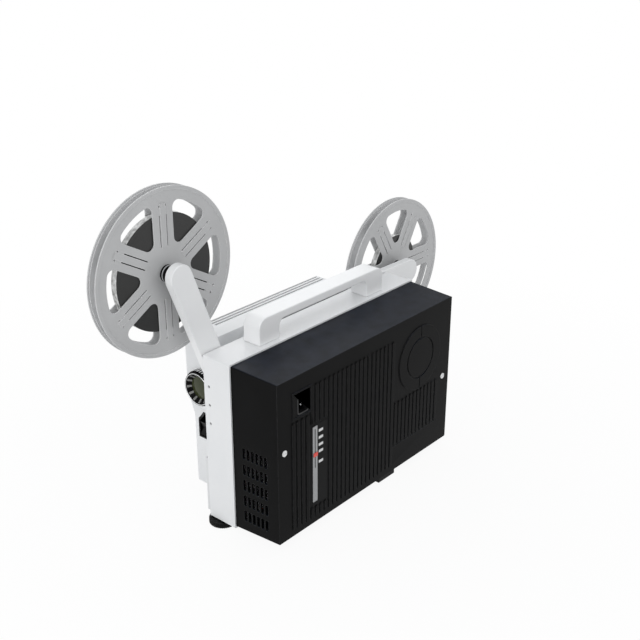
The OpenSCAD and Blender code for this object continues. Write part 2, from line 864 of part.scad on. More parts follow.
// Laminated stack with a bell on each side
module motor() color([0.45, 0.46, 0.48]) place() difference() {
    union() {
        along_y(stack_y0, stack_y1)
            round_rect(ring_x - stack_half, ring_x + stack_half, ring_z - stack_half,
                       ring_z + stack_half, slab_r);
        disc_y(ring_x, ring_z, bell_r, stack_y0 - bell_t, stack_y0);
        disc_y(ring_x, ring_z, post_off - post_r, stack_y1, stack_y1 + bell_t / 2);
    }
    disc_y(ring_x, ring_z, motor_bore_r, stack_y0 - bell_t - cut, stack_y1 + bell_t + cut);
}

module motor_rotor() color(steel) place() {
    disc_y(ring_x, ring_z, rotor_shaft_r, fan_y0, belt_y0 + belt_w + pulley_flange);
    grooved_pulley(ring_x, ring_z, motor_pulley_r);
}

// Pulley with a flange on each side of the belt; its radius is measured under the belt
module grooved_pulley(x, z, r) {
    disc_y(x, z, r, belt_y0 - pulley_flange, belt_y0 + belt_w + pulley_flange);
    for (y = [belt_y0 - pulley_flange, belt_y0 + belt_w + gap])
        disc_y(x, z, r + belt_t, y, y + pulley_flange - gap);
}

module fan_impeller() color([0.85, 0.86, 0.88]) place() difference() {
    union() {
        disc_y(ring_x, ring_z, fan_r, fan_y1 - fan_disc_t, fan_y1);
        disc_y(ring_x, ring_z, fan_hub_r, fan_y0 + fan_disc_t, fan_y1);
        for (i = [0 : fan_blades - 1])
            translate([ring_x, 0, ring_z]) rotate([0, i * 360 / fan_blades, 0])
                block(fan_r - fan_blade_l, fan_r - trim, fan_y0 + fan_disc_t, fan_y1, 0, fan_blade_t);
    }
    disc_y(ring_x, ring_z, rotor_shaft_r, fan_y0 - cut, fan_y1 + cut);
}

module fan_housing() color([0.3, 0.31, 0.33]) place() difference() {
    disc_y(ring_x, ring_z, fan_case_r + fan_case_wall, fan_case_y0, fan_case_y1);
    disc_y(ring_x, ring_z, fan_case_r, fan_case_y0 + fan_case_wall, fan_case_y1 - fan_case_wall);
    disc_y(ring_x, ring_z, fan_inlet_r, fan_case_y0 - cut, fan_case_y0 + fan_case_wall + cut);
    disc_y(ring_x, ring_z, 2 * rotor_shaft_r, fan_case_y1 - fan_case_wall - cut, fan_case_y1 + cut);
    block(ring_x - 2 * fan_case_r, ring_x - fan_case_r / 2, fan_case_y0 + fan_case_wall + fan_case_gap,
          fan_case_y1 - fan_case_wall - fan_case_gap, ring_z - fan_case_r / 2, ring_z + fan_case_r / 2);
}

// Laminated core screwed to the mechanism wall
module transformer_core() color([0.35, 0.35, 0.37]) place() difference() {
    block(core_x0, core_x0 + core_l, core_y1 - coil_t - core_t, core_y1 - coil_t, core_z0, core_z0 + core_h);
    for (x = [core_x0 + core_leg, core_x0 + core_l / 2 + core_leg])
        block(x, x + core_l / 2 - 2 * core_leg, core_y1 - coil_t - core_t - cut, core_y1 - coil_t + cut,
              core_z0 + core_leg, core_z0 + core_h - core_leg);
}

// Winding round the middle leg of the core
module transformer_winding() color([0.65, 0.42, 0.2]) place() difference() {
    block(core_x0 + core_leg + winding_gap, core_x0 + core_l - core_leg - winding_gap,
          core_y1 - 2 * coil_t - core_t,
          core_y1, core_z0 + core_leg + winding_gap, core_z0 + core_h - core_leg - winding_gap);
    block(core_x0 + core_l / 2 - core_leg - winding_gap, core_x0 + core_l / 2 + core_leg + winding_gap,
          core_y1 - coil_t - core_t - winding_gap, core_y1 - coil_t + winding_gap, core_z0, core_z0 + core_h);
}

module circuit_board() color([0.15, 0.35, 0.2]) place() {
    difference() {
        block(board_x0, board_x0 + board_l, board_y0, board_y0 + board_t, board_z0, board_z0 + board_h);
        for (p = standoff_places)
            disc_y(p[0], p[1], standoff_pin_r, board_y0 - cut, board_y0 + board_t + cut);
    }
    block(board_x0 + chip_l, board_x0 + 2 * chip_l, board_y0 - chip_t, board_y0, board_z0 + chip_l,
          board_z0 + chip_l + cap_r);
    disc_y(board_x0 + chip_l, board_z0 + board_h - 2 * cap_r, cap_r, board_y0 - cap_l, board_y0);
}

// Front outline of the film side housing: straight below, drawn forward to the nose above
function nose_curve(inset) = [for (i = [0 : nose_steps]) let (s = i / nose_steps)
    [film_front_x - (film_front_x - nose_x) * (1 - (1 - s) * (1 - s)) + inset,
     nose_z - nose_curve_h * (1 - s)]];

function film_outline(inset) = concat(
    [[film_rear_x - inset, film_z0 + inset], [film_front_x + inset, film_z0 + inset]],
    nose_curve(inset),
    [[nose_x + inset, slab_z1 - inset], [film_rear_x - inset, slab_z1 - inset]]);

// Slot that the front arm swings in, widened by the wall where the cavity stays clear of it
module arm_slot(wall, y1) {
    along_y(plate_y1 - cut, y1) polygon([
        [nose_x - cut, slot_floor_z - wall], [slot_end_x + wall, slot_floor_z - wall],
        [slot_ramp_x + 2 * wall, slab_z1 + cut], [nose_x - cut, slab_z1 + cut]]);
}

module film_side_housing() color(white) place() difference() {
    union() {
        difference() {
            along_y(plate_y1, film_y1) polygon(film_outline(0));
            difference() {
                along_y(plate_y1 - cut, film_in_y) polygon(film_outline(film_wall));
                arm_slot(film_wall, slot_y1 + film_wall);
            }
            arm_slot(0, slot_y1);
        }
        for (p = housing_screw_places) disc_y(p[0], p[1], housing_post_r, plate_y1, film_in_y + cut);
        for (z = hinge_z, s = [-1, 1]) hinge_ear(z + s * (hinge_knuckle + gap));
    }
    along_y(film_in_y - cut, film_y1 + cut) round_rect(door_x0, door_x1, door_z0, door_z1, door_r);
    for (i = [0 : 2])
        block(groove_x0, film_rear_x - groove_end, groove_y(i), groove_y(i) + groove_w,
              slab_z1 - groove_depth,
              slab_z1 + cut);
    disc_y(main_x, main_z, shaft_r + gap, film_in_y - cut, film_y1 + cut);
    disc_y(knob_x, knob_z, knob_shaft_r + fit, film_in_y - cut, film_y1 + cut);
    disc_y(framing_x, framing_z, knob_shaft_r + fit, film_in_y - cut, film_y1 + cut);
    disc_x(film_y, lens_z, holder_r, nose_x - cut, film_front_x + film_wall);
    switch_opening(nose_x - cut, film_front_x + film_wall + cut, 0);
    block(nose_x + film_wall, nose_x + film_wall + film_slot_l, film_y - film_slot_w / 2,
          film_y + film_slot_w / 2, slab_z1 - film_wall - cut, slab_z1 + cut);
    block(film_rear_x - film_wall - cut, film_rear_x + cut, film_y - film_slot_w / 2,
          film_y + film_slot_w / 2,
          film_exit_z, film_exit_z + film_exit_h);
    for (p = housing_screw_places) disc_y(p[0], p[1], plate_screw_r + fit, plate_y1 - cut, film_y1 + cut);
}

function groove_y(i) = film_y1 - groove_edge - groove_w + trim - i * groove_pitch;

// Ear of the housing that holds one end of a hinge pin
module hinge_ear(z) difference() {
    half = hinge_knuckle / 2;
    union() {
        disc_z(hinge_x, hinge_y, hinge_r, z - half, z + half);
        block(hinge_x, hinge_x + hinge_r, film_y1 - trim, hinge_y, z - half, z + half);
    }
    disc_z(hinge_x, hinge_y, hinge_pin_r, z - hinge_knuckle, z + hinge_knuckle);
}

module lamp_door() color(white) place() difference() {
    union() {
        along_y(film_in_y, film_y1)
            round_rect(door_x0 + gap, door_x1 - gap, door_z0 + gap, door_z1 - gap, door_r - gap);
        for (z = hinge_z) {
            half = hinge_knuckle / 2;
            disc_z(hinge_x, hinge_y, hinge_r, z - half, z + half);
            block(door_x1 - hinge_r, hinge_x, film_y1 + gap, hinge_y, z - half, z + half);
            block(door_x1 - 2 * hinge_r, door_x1 - hinge_r, film_y1 - trim, hinge_y, z - half, z + half);
        }
    }
    for (z = hinge_z) disc_z(hinge_x, hinge_y, hinge_pin_r + fit, z - hinge_knuckle, z + hinge_knuckle);
    for (z = [door_z0 + door_vent_in : door_vent_pitch : door_z1 - door_vent_in])
        block(door_x0 + door_vent_side, door_x1 - door_vent_side, film_in_y - cut, film_y1 + cut, z,
              z + groove_w);
}

module door_hinge_pins() color(steel) place() {
    for (z = hinge_z)
        disc_z(hinge_x, hinge_y, hinge_pin_r, z - hinge_knuckle * 3 / 2 - gap,
               z + hinge_knuckle * 3 / 2 + gap);
}

module function_knob() color(dark) place() {
    disc_y(knob_x, knob_z, knob_shaft_r, film_in_y - framing_h, film_y1 + knob_gap);
    difference() {
        disc_y(knob_x, knob_z, knob_r, film_y1 + knob_gap, film_y1 + knob_gap + knob_h);
        for (i = [0 : knurl_count - 1])
            translate([knob_x, 0, knob_z]) rotate([0, i * 360 / knurl_count, 0])
                disc_y(knob_r, 0, knurl_r, film_y1, film_y1 + knob_gap + knob_h + cut);
        block(knob_x - knurl_r, knob_x + knurl_r, film_y1 + knob_gap + knob_h - trim,
              film_y1 + knob_gap + knob_h + cut, knob_z + knob_r / 3, knob_z + knob_r + cut);
    }
}

module framing_knob() color(dark) place() {
    disc_y(framing_x, framing_z, knob_shaft_r, film_in_y - framing_h, film_y1 + knob_gap);
    disc_y(framing_x, framing_z, framing_r, film_y1 + knob_gap, film_y1 + knob_gap + framing_h);
}

// Opening of the rocker switch, with its top sloped down to the far side
module switch_opening(x0, x1, inset) {
    far = switch_y1 - inset;
    near = switch_y1 - switch_w + inset;
    low = switch_z0 + inset;
    shoulder = switch_z0 + switch_h - inset;
    top = shoulder + switch_corner_h;
    translate([x0, 0, 0]) rotate([90, 0, 90]) linear_extrude(x1 - x0)
        polygon([[near, low], [far, low], [far, shoulder], [far - switch_corner_w, top], [near, top]]);
}

module switch_bezel() color([0.1, 0.1, 0.11]) place() difference() {
    intersection() {
        switch_opening(nose_x, film_front_x + switch_depth, fit);
        along_y(switch_y1 - switch_w, switch_y1) polygon(film_outline(0));
    }
    switch_opening(nose_x - cut, film_front_x + switch_depth - switch_wall, switch_wall);
    disc_y(rocker_x, rocker_z, pin_r + fit, switch_y1 - switch_w - cut, switch_y1 + cut);
}

// Two sloped faces that meet over the pivot
module rocker_switch() color([0.14, 0.14, 0.15]) place() {
    half = switch_h / 2 - switch_wall - 4 * gap;
    along_y(switch_y1 - switch_w + switch_wall + gap, switch_y1 - switch_wall - gap)
        translate([rocker_x, rocker_z])
        polygon([[-rocker_rise, 0], [-2 * rocker_rise, half], [0, half], [rocker_rise, 0], [0, -half],
                 [-2 * rocker_rise, -half]]);
    disc_y(rocker_x, rocker_z, pin_r, switch_y1 - switch_w + trim, switch_y1 - trim);
}

// Tube for the lens, on a foot that is screwed to the mechanism plate
module lens_holder() color([0.25, 0.25, 0.27]) place() difference() {
    union() {
        disc_x(film_y, lens_z, holder_r - fit, nose_x + trim, holder_x1);
        block(holder_flange_x0, holder_flange_x0 + holder_flange_t, plate_y1, film_y, lens_z - holder_foot_h,
              lens_z + holder_foot_h / 2);
    }
    disc_x(film_y, lens_z, barrel_r + fit, nose_x, holder_x1 + cut);
}

// Barrel with its front rim and a cone that narrows to the glass
module lens_barrel() color(dark) place() difference() {
    translate([0, film_y, lens_z]) rotate([0, 90, 0]) rotate_extrude() polygon([
        [lens_rim_r - rim_wall, rim_x0], [lens_rim_r, rim_x0], [lens_rim_r, rim_x0 + rim_t],
        [lens_rim_r - 2 * rim_wall, rim_x0 + rim_t], [lens_rim_r - 2 * rim_wall, glass_x + glass_t],
        [barrel_r, glass_x + glass_t], [barrel_r, barrel_x1], [rear_glass_r, barrel_x1],
        [rear_glass_r, glass_x + glass_t - trim], [glass_r, glass_x + glass_t - trim], [glass_r, glass_x]]);
}

module lens_glasses() color([0.35, 0.38, 0.2]) place() {
    translate([glass_x + trim, film_y, lens_z]) rotate([0, 90, 0]) rotate_extrude() intersection() {
        translate([0, glass_bow]) circle(glass_bow);
        square([glass_r - fit, glass_t - 2 * trim]);
    }
    disc_x(film_y, lens_z, rear_glass_r - fit, barrel_x1 - glass_t, barrel_x1 - trim);
}

// Knurled ring round the barrel
module focus_ring() color([0.15, 0.15, 0.16]) place() difference() {
    disc_x(film_y, lens_z, focus_r, focus_x0, focus_x0 + focus_t);
    disc_x(film_y, lens_z, lens_rim_r - 2 * rim_wall + fit, focus_x0 - cut, focus_x0 + focus_t + cut);
    for (i = [0 : focus_knurls - 1])
        translate([0, film_y, lens_z]) rotate([i * 360 / focus_knurls, 0, 0])
            disc_x(focus_r, 0, knurl_r, focus_x0 - cut, focus_x0 + focus_t + cut);
}

// Slot in the gate and the pressure plate for the claw's tooth
module claw_slot() block(gate_x - film_gap - pressure_t - cut, gate_x + gate_t + cut,
                         film_y - claw_off - claw_slot_w / 2, film_y - claw_off + claw_slot_w / 2,
                         claw_z - claw_slot_h / 2, claw_z + claw_slot_h / 2);

// Plate behind the film, on a foot that lies on the mechanism plate
module gate_plate() color(steel) place() {
    difference() {
        union() {
            block(gate_x, gate_x + gate_t, plate_y1, film_y + gate_w / 2, lens_z - gate_down,
                  lens_z + gate_step);
            block(gate_x, gate_x + gate_t, slot_y1 + 2 * film_wall, film_y + gate_w / 2, lens_z,
                  lens_z + gate_up);
            block(gate_x - gate_foot_l, gate_x, plate_y1, plate_y1 + gate_foot_t, lens_z - gate_down,
                  lens_z - holder_foot_h - gap);
        }
        block(gate_x - cut, gate_x + gate_t + cut, film_y - aperture_w / 2, film_y + aperture_w / 2,
              lens_z - aperture_h / 2, lens_z + aperture_h / 2);
        claw_slot();
    }
    for (s = [-1, 1])
        disc_x(film_y, lens_z + s * (pressure_l / 2 - gate_pin_in), pin_r, gate_x - gate_pin_l, gate_x);
}

module pressure_plate() color(steel) place() difference() {
    block(gate_x - film_gap - pressure_t, gate_x - film_gap, film_y - pressure_w / 2, film_y + pressure_w / 2,
          lens_z - pressure_l / 2, lens_z + pressure_l / 2);
    for (s = [-1, 1])
        disc_x(film_y, lens_z + s * (pressure_l / 2 - gate_pin_in), pin_r + 2 * fit,
               gate_x - gate_pin_l, gate_x);
    claw_slot();
    block(gate_x - film_gap - pressure_t - cut, gate_x, film_y - aperture_w / 2, film_y + aperture_w / 2,
          lens_z - aperture_h / 2, lens_z + aperture_h / 2);
}

// Frame round the cam, with a tooth that reaches through the gate
module claw() color(steel) place() {
    x0 = cam_x + (cam_t - claw_t) / 2;
    difference() {
        block(x0, x0 + claw_t, film_y - claw_half, film_y + claw_half, shutter_z - claw_half - claw_travel,
              shutter_z + claw_half + claw_travel);
        block(x0 - cut, x0 + claw_t + cut, film_y - cam_r - gap, film_y + cam_r + gap,
              shutter_z - cam_r - claw_travel - gap, shutter_z + cam_r + claw_travel + gap);
    }
    block(gate_x - claw_tip / 2, x0, film_y - claw_off - claw_t / 2, film_y - claw_off + claw_t / 2,
          claw_z - claw_t / 2, claw_z + claw_t / 2);
}

// Two-bladed shutter, cam and gear on one axle
module shutter() color([0.25, 0.25, 0.27]) place() {
    disc_x(film_y, shutter_z, axle_r, cam_x - trim, cam_x + shutter_shaft_l);
    disc_x(film_y, shutter_z, cam_r, cam_x, cam_x + cam_t);
    disc_x(film_y, shutter_z, worm_r, main_x - gear_t / 2, main_x + gear_t / 2);
    difference() {
        disc_x(film_y, shutter_z, shutter_r, shutter_x, shutter_x + shutter_t);
        for (s = [0, 180])
            translate([0, film_y, shutter_z]) rotate([s, 0, 0])
                block(shutter_x - cut, shutter_x + shutter_t + cut, cam_r + axle_r, shutter_r + cut,
                      -shutter_r * blade_half_share, shutter_r * blade_half_share);
    }
}

// Two bearing blocks that carry the shutter's axle from the mechanism plate
module shutter_bearings() color([0.5, 0.5, 0.52]) place() difference() {
    for (x = [bearing_x0, cam_x + shutter_shaft_l - bearing_t - trim])
        union() {
            block(x, x + bearing_t, plate_y1, film_y, shutter_z - bearing_r / 2, shutter_z + bearing_r / 2);
            disc_x(film_y, shutter_z, bearing_r, x, x + bearing_t);
        }
    disc_x(film_y, shutter_z, axle_r + fit, shutter_x, cam_x + 2 * shutter_shaft_l);
}

// Outline of a toothed wheel: each tooth is a trapezium of the given height, with its root on a straight rim
function toothed(r, height, teeth) = [for (i = [0 : teeth - 1], flank = tooth_flanks)
    let (angle = (i + flank[0]) * 360 / teeth) (r - flank[1] * height) * [cos(angle), sin(angle)]];

// Gear with straight teeth on a solid rim
module gear_disc(x, z, r) along_y(gear_y0, gear_y0 + gear_t)
    translate([x, z]) polygon(toothed(r, tooth_h, floor(2 * PI * r / tooth_pitch)));

module sprocket(z) color(steel) place() {
    gear_disc(sprocket_x, z, lower_gear_r);
    disc_y(sprocket_x, z, shaft_r, gear_y0, sprocket_y0 + sprocket_w + shaft_r);
    disc_y(sprocket_x, z, sprocket_r - sprocket_tooth, sprocket_y0, sprocket_y0 + sprocket_w);
    along_y(sprocket_y0 + sprocket_tooth, sprocket_y0 + 2 * sprocket_tooth)
        translate([sprocket_x, z]) polygon(toothed(sprocket_r, 2 * sprocket_tooth, sprocket_teeth));
}

module upper_sprocket() sprocket(upper_z);

module lower_sprocket() sprocket(lower_z);

module idler_gear() color(brass) place() {
    gear_disc(sprocket_x, idler_z, idler_r);
    disc_y(sprocket_x, idler_z, shaft_r, gear_y0, plate_y1);
}

// Main shaft with its pulley, the gears that it drives and the inching knob
module main_shaft() color(steel) place() {
    disc_y(main_x, main_z, shaft_r, gear_y0 - gear_t, film_y1 + knob_gap);
    disc_y(main_x, main_z, main_gear_r, film_y - gear_t, film_y + gear_t);
    gear_disc(main_x, main_z, pinion_r);
    grooved_pulley(main_x, main_z, main_pulley_r);
}

module inching_knob() color(dark) place() difference() {
    disc_y(main_x, main_z, inching_r, film_y1 + knob_gap, film_y1 + knob_gap + framing_h);
    for (i = [0 : knurl_count / 2 - 1])
        translate([main_x, 0, main_z]) rotate([0, i * 720 / knurl_count, 0])
            disc_y(inching_r, 0, knurl_r, film_y1, film_y1 + knob_gap + framing_h + cut);
}

module shaft_bushes() color(brass) place() difference() {
    for (p = bush_places) disc_y(p[0], p[1], bush_r, web_y0, plate_y1);
    for (p = bush_places) disc_y(p[0], p[1], shaft_r + fit, web_y0 - cut, plate_y1 + cut);
}

// Flat loop round two pulleys
module loop_outline(x0, z0, r0, x1, z1, r1) {
    dx = x1 - x0;
    dz = z1 - z0;
    lean = asin((r0 - r1) / norm([dx, dz]));
    up = [for (s = [-1, 1]) atan2(dz, dx) + s * (90 - lean)];
    translate([x0, z0]) circle(r0);
    translate([x1, z1]) circle(r1);
    polygon([for (c = [[x0, z0, r0, 0], [x1, z1, r1, 0], [x1, z1, r1, 1], [x0, z0, r0, 1]])
        [c[0] + c[2] * cos(up[c[3]]), c[1] + c[2] * sin(up[c[3]])]]);
}

module drive_belt() color([0.08, 0.08, 0.08]) place() along_y(belt_y0 + gap / 2, belt_y0 + belt_w - gap / 2)
    difference() {
        loop_outline(main_x, main_z, main_pulley_r + belt_t, ring_x, ring_z, motor_pulley_r + belt_t);
        loop_outline(main_x, main_z, main_pulley_r + fit, ring_x, ring_z, motor_pulley_r + fit);
    }

// Curved shoes that hold the film on the sprockets
module sprocket_shoes() color([0.2, 0.2, 0.21]) place() for (z = [upper_z, lower_z]) {
    difference() {
        disc_y(sprocket_x, z, sprocket_r + shoe_gap + shoe_t, sprocket_y0, sprocket_y0 + sprocket_w);
        disc_y(sprocket_x, z, sprocket_r + shoe_gap, sprocket_y0 - cut, sprocket_y0 + sprocket_w + cut);
        block(gate_x - sprocket_r - shoe_t, sprocket_x + cam_r, sprocket_y0 - cut,
              sprocket_y0 + sprocket_w + cut,
              z - 2 * sprocket_r, z + 2 * sprocket_r);
    }
    disc_y(sprocket_x + sprocket_r + shoe_gap + shoe_t / 2, z, shoe_t, plate_y1, sprocket_y0 + shoe_t);
}

module guide_roller() color([0.85, 0.85, 0.86]) place() difference() {
    union() {
        disc_y(roller_x, roller_z, roller_r, sprocket_y0, sprocket_y0 + sprocket_w);
        for (y = [sprocket_y0 - trim, sprocket_y0 + sprocket_w - trim])
            disc_y(roller_x, roller_z, roller_r + roller_axle_r, y, y + 2 * trim);
    }
    disc_y(roller_x, roller_z, roller_axle_r + fit, sprocket_y0 - 2 * trim,
           sprocket_y0 + sprocket_w + 2 * trim);
}

module roller_axle() color(steel) place() {
    disc_y(roller_x, roller_z, roller_axle_r, plate_y1, sprocket_y0 + sprocket_w + roller_axle_r);
    disc_y(roller_x, roller_z, 2 * roller_axle_r, plate_y1, sprocket_y0 - trim - gap);
    disc_y(roller_x, roller_z, 2 * roller_axle_r, sprocket_y0 + sprocket_w + trim + gap,
           sprocket_y0 + sprocket_w + roller_axle_r + trim);
}

// Half section of the bowl: the depth grows with the square of the radius
function bowl(offset) = [for (i = [0 : reflector_steps]) let (s = i / reflector_steps)
    [reflector_neck_r + (reflector_r - reflector_neck_r) * s + offset, reflector_l * (1 - s * s)]];

module lamp_reflector() color([0.8, 0.82, 0.85]) place()
    translate([reflector_x0, film_y, lens_z]) rotate([0, 90, 0]) rotate_extrude()
        polygon(concat(bowl(0), [for (i = [reflector_steps : -1 : 0]) bowl(reflector_wall)[i]]));

module lamp() color([0.9, 0.92, 0.95]) place() {
    disc_x(film_y, lens_z, lamp_glass_r, lamp_x0 - lamp_glass_l, lamp_x0);
    translate([lamp_x0 - lamp_glass_l, film_y, lens_z]) sphere(lamp_glass_r);
    disc_x(film_y, lens_z, lamp_base_r, lamp_x0, lamp_x0 + lamp_base_l);
}

// Upright plate with the ceramic socket
module lamp_holder() color([0.78, 0.76, 0.72]) place() difference() {
    union() {
        block(lamp_x0, lamp_x0 + lamp_plate_t, plate_y1, film_y + reflector_r, lens_z - reflector_r,
              lens_z + reflector_r);
        block(lamp_x0, lamp_x0 + 2 * lamp_base_l, plate_y1, plate_y1 + lamp_plate_t, lens_z - reflector_r,
              lens_z + reflector_r);
        disc_x(film_y, lens_z, 2 * lamp_base_r, lamp_x0, lamp_x0 + lamp_base_l + lamp_base_r);
    }
    disc_x(film_y, lens_z, lamp_base_r + fit, lamp_x0 - cut, lamp_x0 + lamp_base_l);
}

module front_arm() color(white) place() arm(front_pivot_x, front_pivot_z, front_pivot_r, front_reel_x,
                                            front_reel_z, front_arm_r);

module rear_arm() color(white) place() arm(rear_pivot_x, rear_pivot_z, rear_arm_r, rear_reel_x, rear_reel_z,
                                           rear_arm_r);

// Arm with a through bore at its pivot and a blind bore for its spindle
module arm(x0, z0, r0, x1, z1, r1) difference() {
    along_y(arm_y0, arm_y1) loop_outline(x0, z0, r0, x1, z1, r1);
    disc_y(x0, z0, pivot_r + fit, arm_y0 - cut, arm_y1 + cut);
    disc_y(x1, z1, spindle_r + fit, arm_y0 + spindle_seat, arm_y1 + cut);
}

module pivot_bolts() color(steel) place()
    for (p = [[front_pivot_x, front_pivot_z], [rear_pivot_x, rear_pivot_z]]) {
        disc_y(p[0], p[1], bolt_head_r, arm_y1 + gap, arm_y1 + gap + bolt_head_t);
        disc_y(p[0], p[1], pivot_r, slab_y1, arm_y1 + gap);
        disc_y(p[0], p[1], bolt_r, web_y0 - bush_l, slab_y1);
    }

module front_spindle() color(dark) place() spindle(front_reel_x, front_reel_z);

module rear_spindle() color(dark) place() spindle(rear_reel_x, rear_reel_z);

// Shaft with the collar that the reel rests against and three splines at its tip
module spindle(x, z) {
    disc_y(x, z, spindle_r, arm_y0 + spindle_seat + gap, reel_y1 + spindle_tip);
    disc_y(x, z, spindle_collar_r, arm_y1 + gap, reel_y0);
    for (a = [90, 210, 330])
        translate([x, 0, z]) rotate([0, a, 0])
            block(0, spindle_r + spline_w, reel_y1 + gap, reel_y1 + spindle_tip - gap,
                  -spline_w / 2, spline_w / 2);
}

// Points of an arc from the angle a0 to a1, in window_steps steps, without the first and last skip points
function arc_points(centre, r, a0, a1, skip) = [for (i = [skip : window_steps - skip])
    let (angle = a0 + (a1 - a0) * i / window_steps) centre + r * [cos(angle), sin(angle)]];

// One window of a flange, between the spokes at 0 and 60 degrees, with round corners
module reel_window() {
    corner = window_corner_r;
    side = spoke_half + corner;
    far_r = window_r - corner;
    half_turn = spoke_turn / 2;
    half_angle = half_turn - asin(side / far_r);
    outer = far_r * [cos(half_angle), sin(half_angle)];
    rotate(half_turn) polygon(concat(
        arc_points([0, 0], window_r, -half_angle, half_angle, 1),
        arc_points(outer, corner, half_angle, 90 + half_turn, 0),
        arc_points([side / sin(half_turn), 0], corner, 90 + half_turn, 270 - half_turn, 0),
        arc_points([outer[0], -outer[1]], corner, 270 - half_turn, 360 - half_angle, 0)));
}

// The two slots beside a spoke's strip, and the small holes beyond them
module strip_slots() for (s = [-1, 1]) {
    mid = s * strip_slot_off;
    square_at(strip_slot_r0, strip_slot_r1, mid - strip_slot_half, mid + strip_slot_half);
    translate([hole_at, mid]) circle(hole_r);
}

// Outline of a flange, with a window and a pair of slots for every spoke
module flange_outline(turn) difference() {
    circle(reel_r - reel_rim_w / 2);
    for (i = [0 : spokes - 1]) rotate(turn + i * spoke_turn) {
        reel_window();
        strip_slots();
    }
}

// A reel: two windowed flanges with raised rims, strips along the spokes and a hub
module reel(x, z, turn) difference() {
    union() {
        for (side = [0, 1]) {
            y0 = side == 0 ? reel_y0 + reel_rim_raise : reel_y1 - reel_rim_raise - flange_t;
            rim_y0 = side == 0 ? reel_y0 : reel_y1 - flange_t;
            face = side == 0 ? y0 - strip_raise : y0 + flange_t - strip_raise;
            along_y(y0, y0 + flange_t) translate([x, z]) flange_outline(turn);
            along_y(rim_y0, rim_y0 + flange_t) translate([x, z]) difference() {
                circle(reel_r);
                circle(reel_r - reel_rim_w);
            }
            along_y(face, face + 2 * strip_raise) translate([x, z]) for (i = [0 : spokes - 1])
                rotate(turn + i * spoke_turn) square_at(strip_r0, strip_r1, -strip_w / 2, strip_w / 2);
        }
        disc_y(x, z, hub_r, reel_y0 + reel_rim_raise, reel_y1 - reel_rim_raise);
        disc_y(x, z, spindle_collar_r, reel_y0, reel_y1);
    }
    disc_y(x, z, reel_bore_r, reel_y0 - cut, reel_y1 + cut);
}

module front_reel() color(grey) place() reel(front_reel_x, front_reel_z, front_reel_turn);

module rear_reel() color(grey) place() reel(rear_reel_x, rear_reel_z, rear_reel_turn);

module wound_film(x, z, r) difference() {
    disc_y(x, z, r, film_y - film_w / 2, film_y + film_w / 2);
    disc_y(x, z, hub_r + fit, film_y - film_w / 2 - cut, film_y + film_w / 2 + cut);
}

module front_film() color([0.2, 0.2, 0.2]) place() wound_film(front_reel_x, front_reel_z, front_film_r);

module rear_film() color([0.2, 0.2, 0.2]) place() wound_film(rear_reel_x, rear_reel_z, rear_film_r);

main_housing();
back_cover();
cover_screws();
mains_inlet();
inlet_pins();
selector_plate();
selector_rail();
selector_slider();
handle();
handle_screws();
mechanism_plate();
case_screws();
film_side_housing();
lamp_door();
door_hinge_pins();
function_knob();
framing_knob();
switch_bezel();
rocker_switch();
lens_holder();
lens_barrel();
lens_glasses();
focus_ring();
gate_plate();
pressure_plate();
claw();
shutter();
shutter_bearings();
upper_sprocket();
lower_sprocket();
idler_gear();
main_shaft();
inching_knob();
shaft_bushes();
drive_belt();
sprocket_shoes();
guide_roller();
roller_axle();
lamp_reflector();
lamp();
lamp_holder();
rubber_feet();
levelling_stem();
levelling_wheel();
motor();
motor_rotor();
fan_impeller();
fan_housing();
transformer_core();
transformer_winding();
circuit_board();
front_arm();
rear_arm();
pivot_bolts();
front_spindle();
rear_spindle();
front_reel();
rear_reel();
front_film();
rear_film();
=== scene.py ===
import json
import math

import bmesh
import bpy
from mathutils import Matrix, Vector

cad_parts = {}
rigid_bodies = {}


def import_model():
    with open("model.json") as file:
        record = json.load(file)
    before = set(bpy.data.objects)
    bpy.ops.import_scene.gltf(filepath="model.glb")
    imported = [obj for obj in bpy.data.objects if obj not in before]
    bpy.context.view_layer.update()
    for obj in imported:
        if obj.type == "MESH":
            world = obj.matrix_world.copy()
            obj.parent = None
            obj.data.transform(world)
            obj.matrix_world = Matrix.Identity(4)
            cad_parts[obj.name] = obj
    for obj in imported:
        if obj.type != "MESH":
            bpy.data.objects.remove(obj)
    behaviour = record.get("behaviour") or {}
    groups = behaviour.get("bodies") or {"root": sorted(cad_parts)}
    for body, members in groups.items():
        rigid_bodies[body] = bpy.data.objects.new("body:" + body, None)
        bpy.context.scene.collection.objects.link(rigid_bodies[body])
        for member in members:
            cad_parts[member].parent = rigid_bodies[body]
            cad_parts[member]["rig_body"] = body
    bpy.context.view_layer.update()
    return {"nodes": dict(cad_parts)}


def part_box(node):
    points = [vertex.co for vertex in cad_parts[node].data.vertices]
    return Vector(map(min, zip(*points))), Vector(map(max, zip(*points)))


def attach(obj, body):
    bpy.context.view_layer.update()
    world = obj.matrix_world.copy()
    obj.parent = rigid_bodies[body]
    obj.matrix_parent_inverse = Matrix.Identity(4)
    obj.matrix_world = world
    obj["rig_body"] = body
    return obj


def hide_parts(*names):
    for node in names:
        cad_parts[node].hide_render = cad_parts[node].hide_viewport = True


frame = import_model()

MM = 0.001
# The place of the frame's origin in the millimetres that the drawing of the case uses
CASE_ORIGIN = Vector((170.2, 85.25, -8))


def at(x, y, z):
    """A point of the case drawing, in metres of the frame."""
    return (Vector((x, y, z)) - CASE_ORIGIN) * MM


# Camera, light and floor

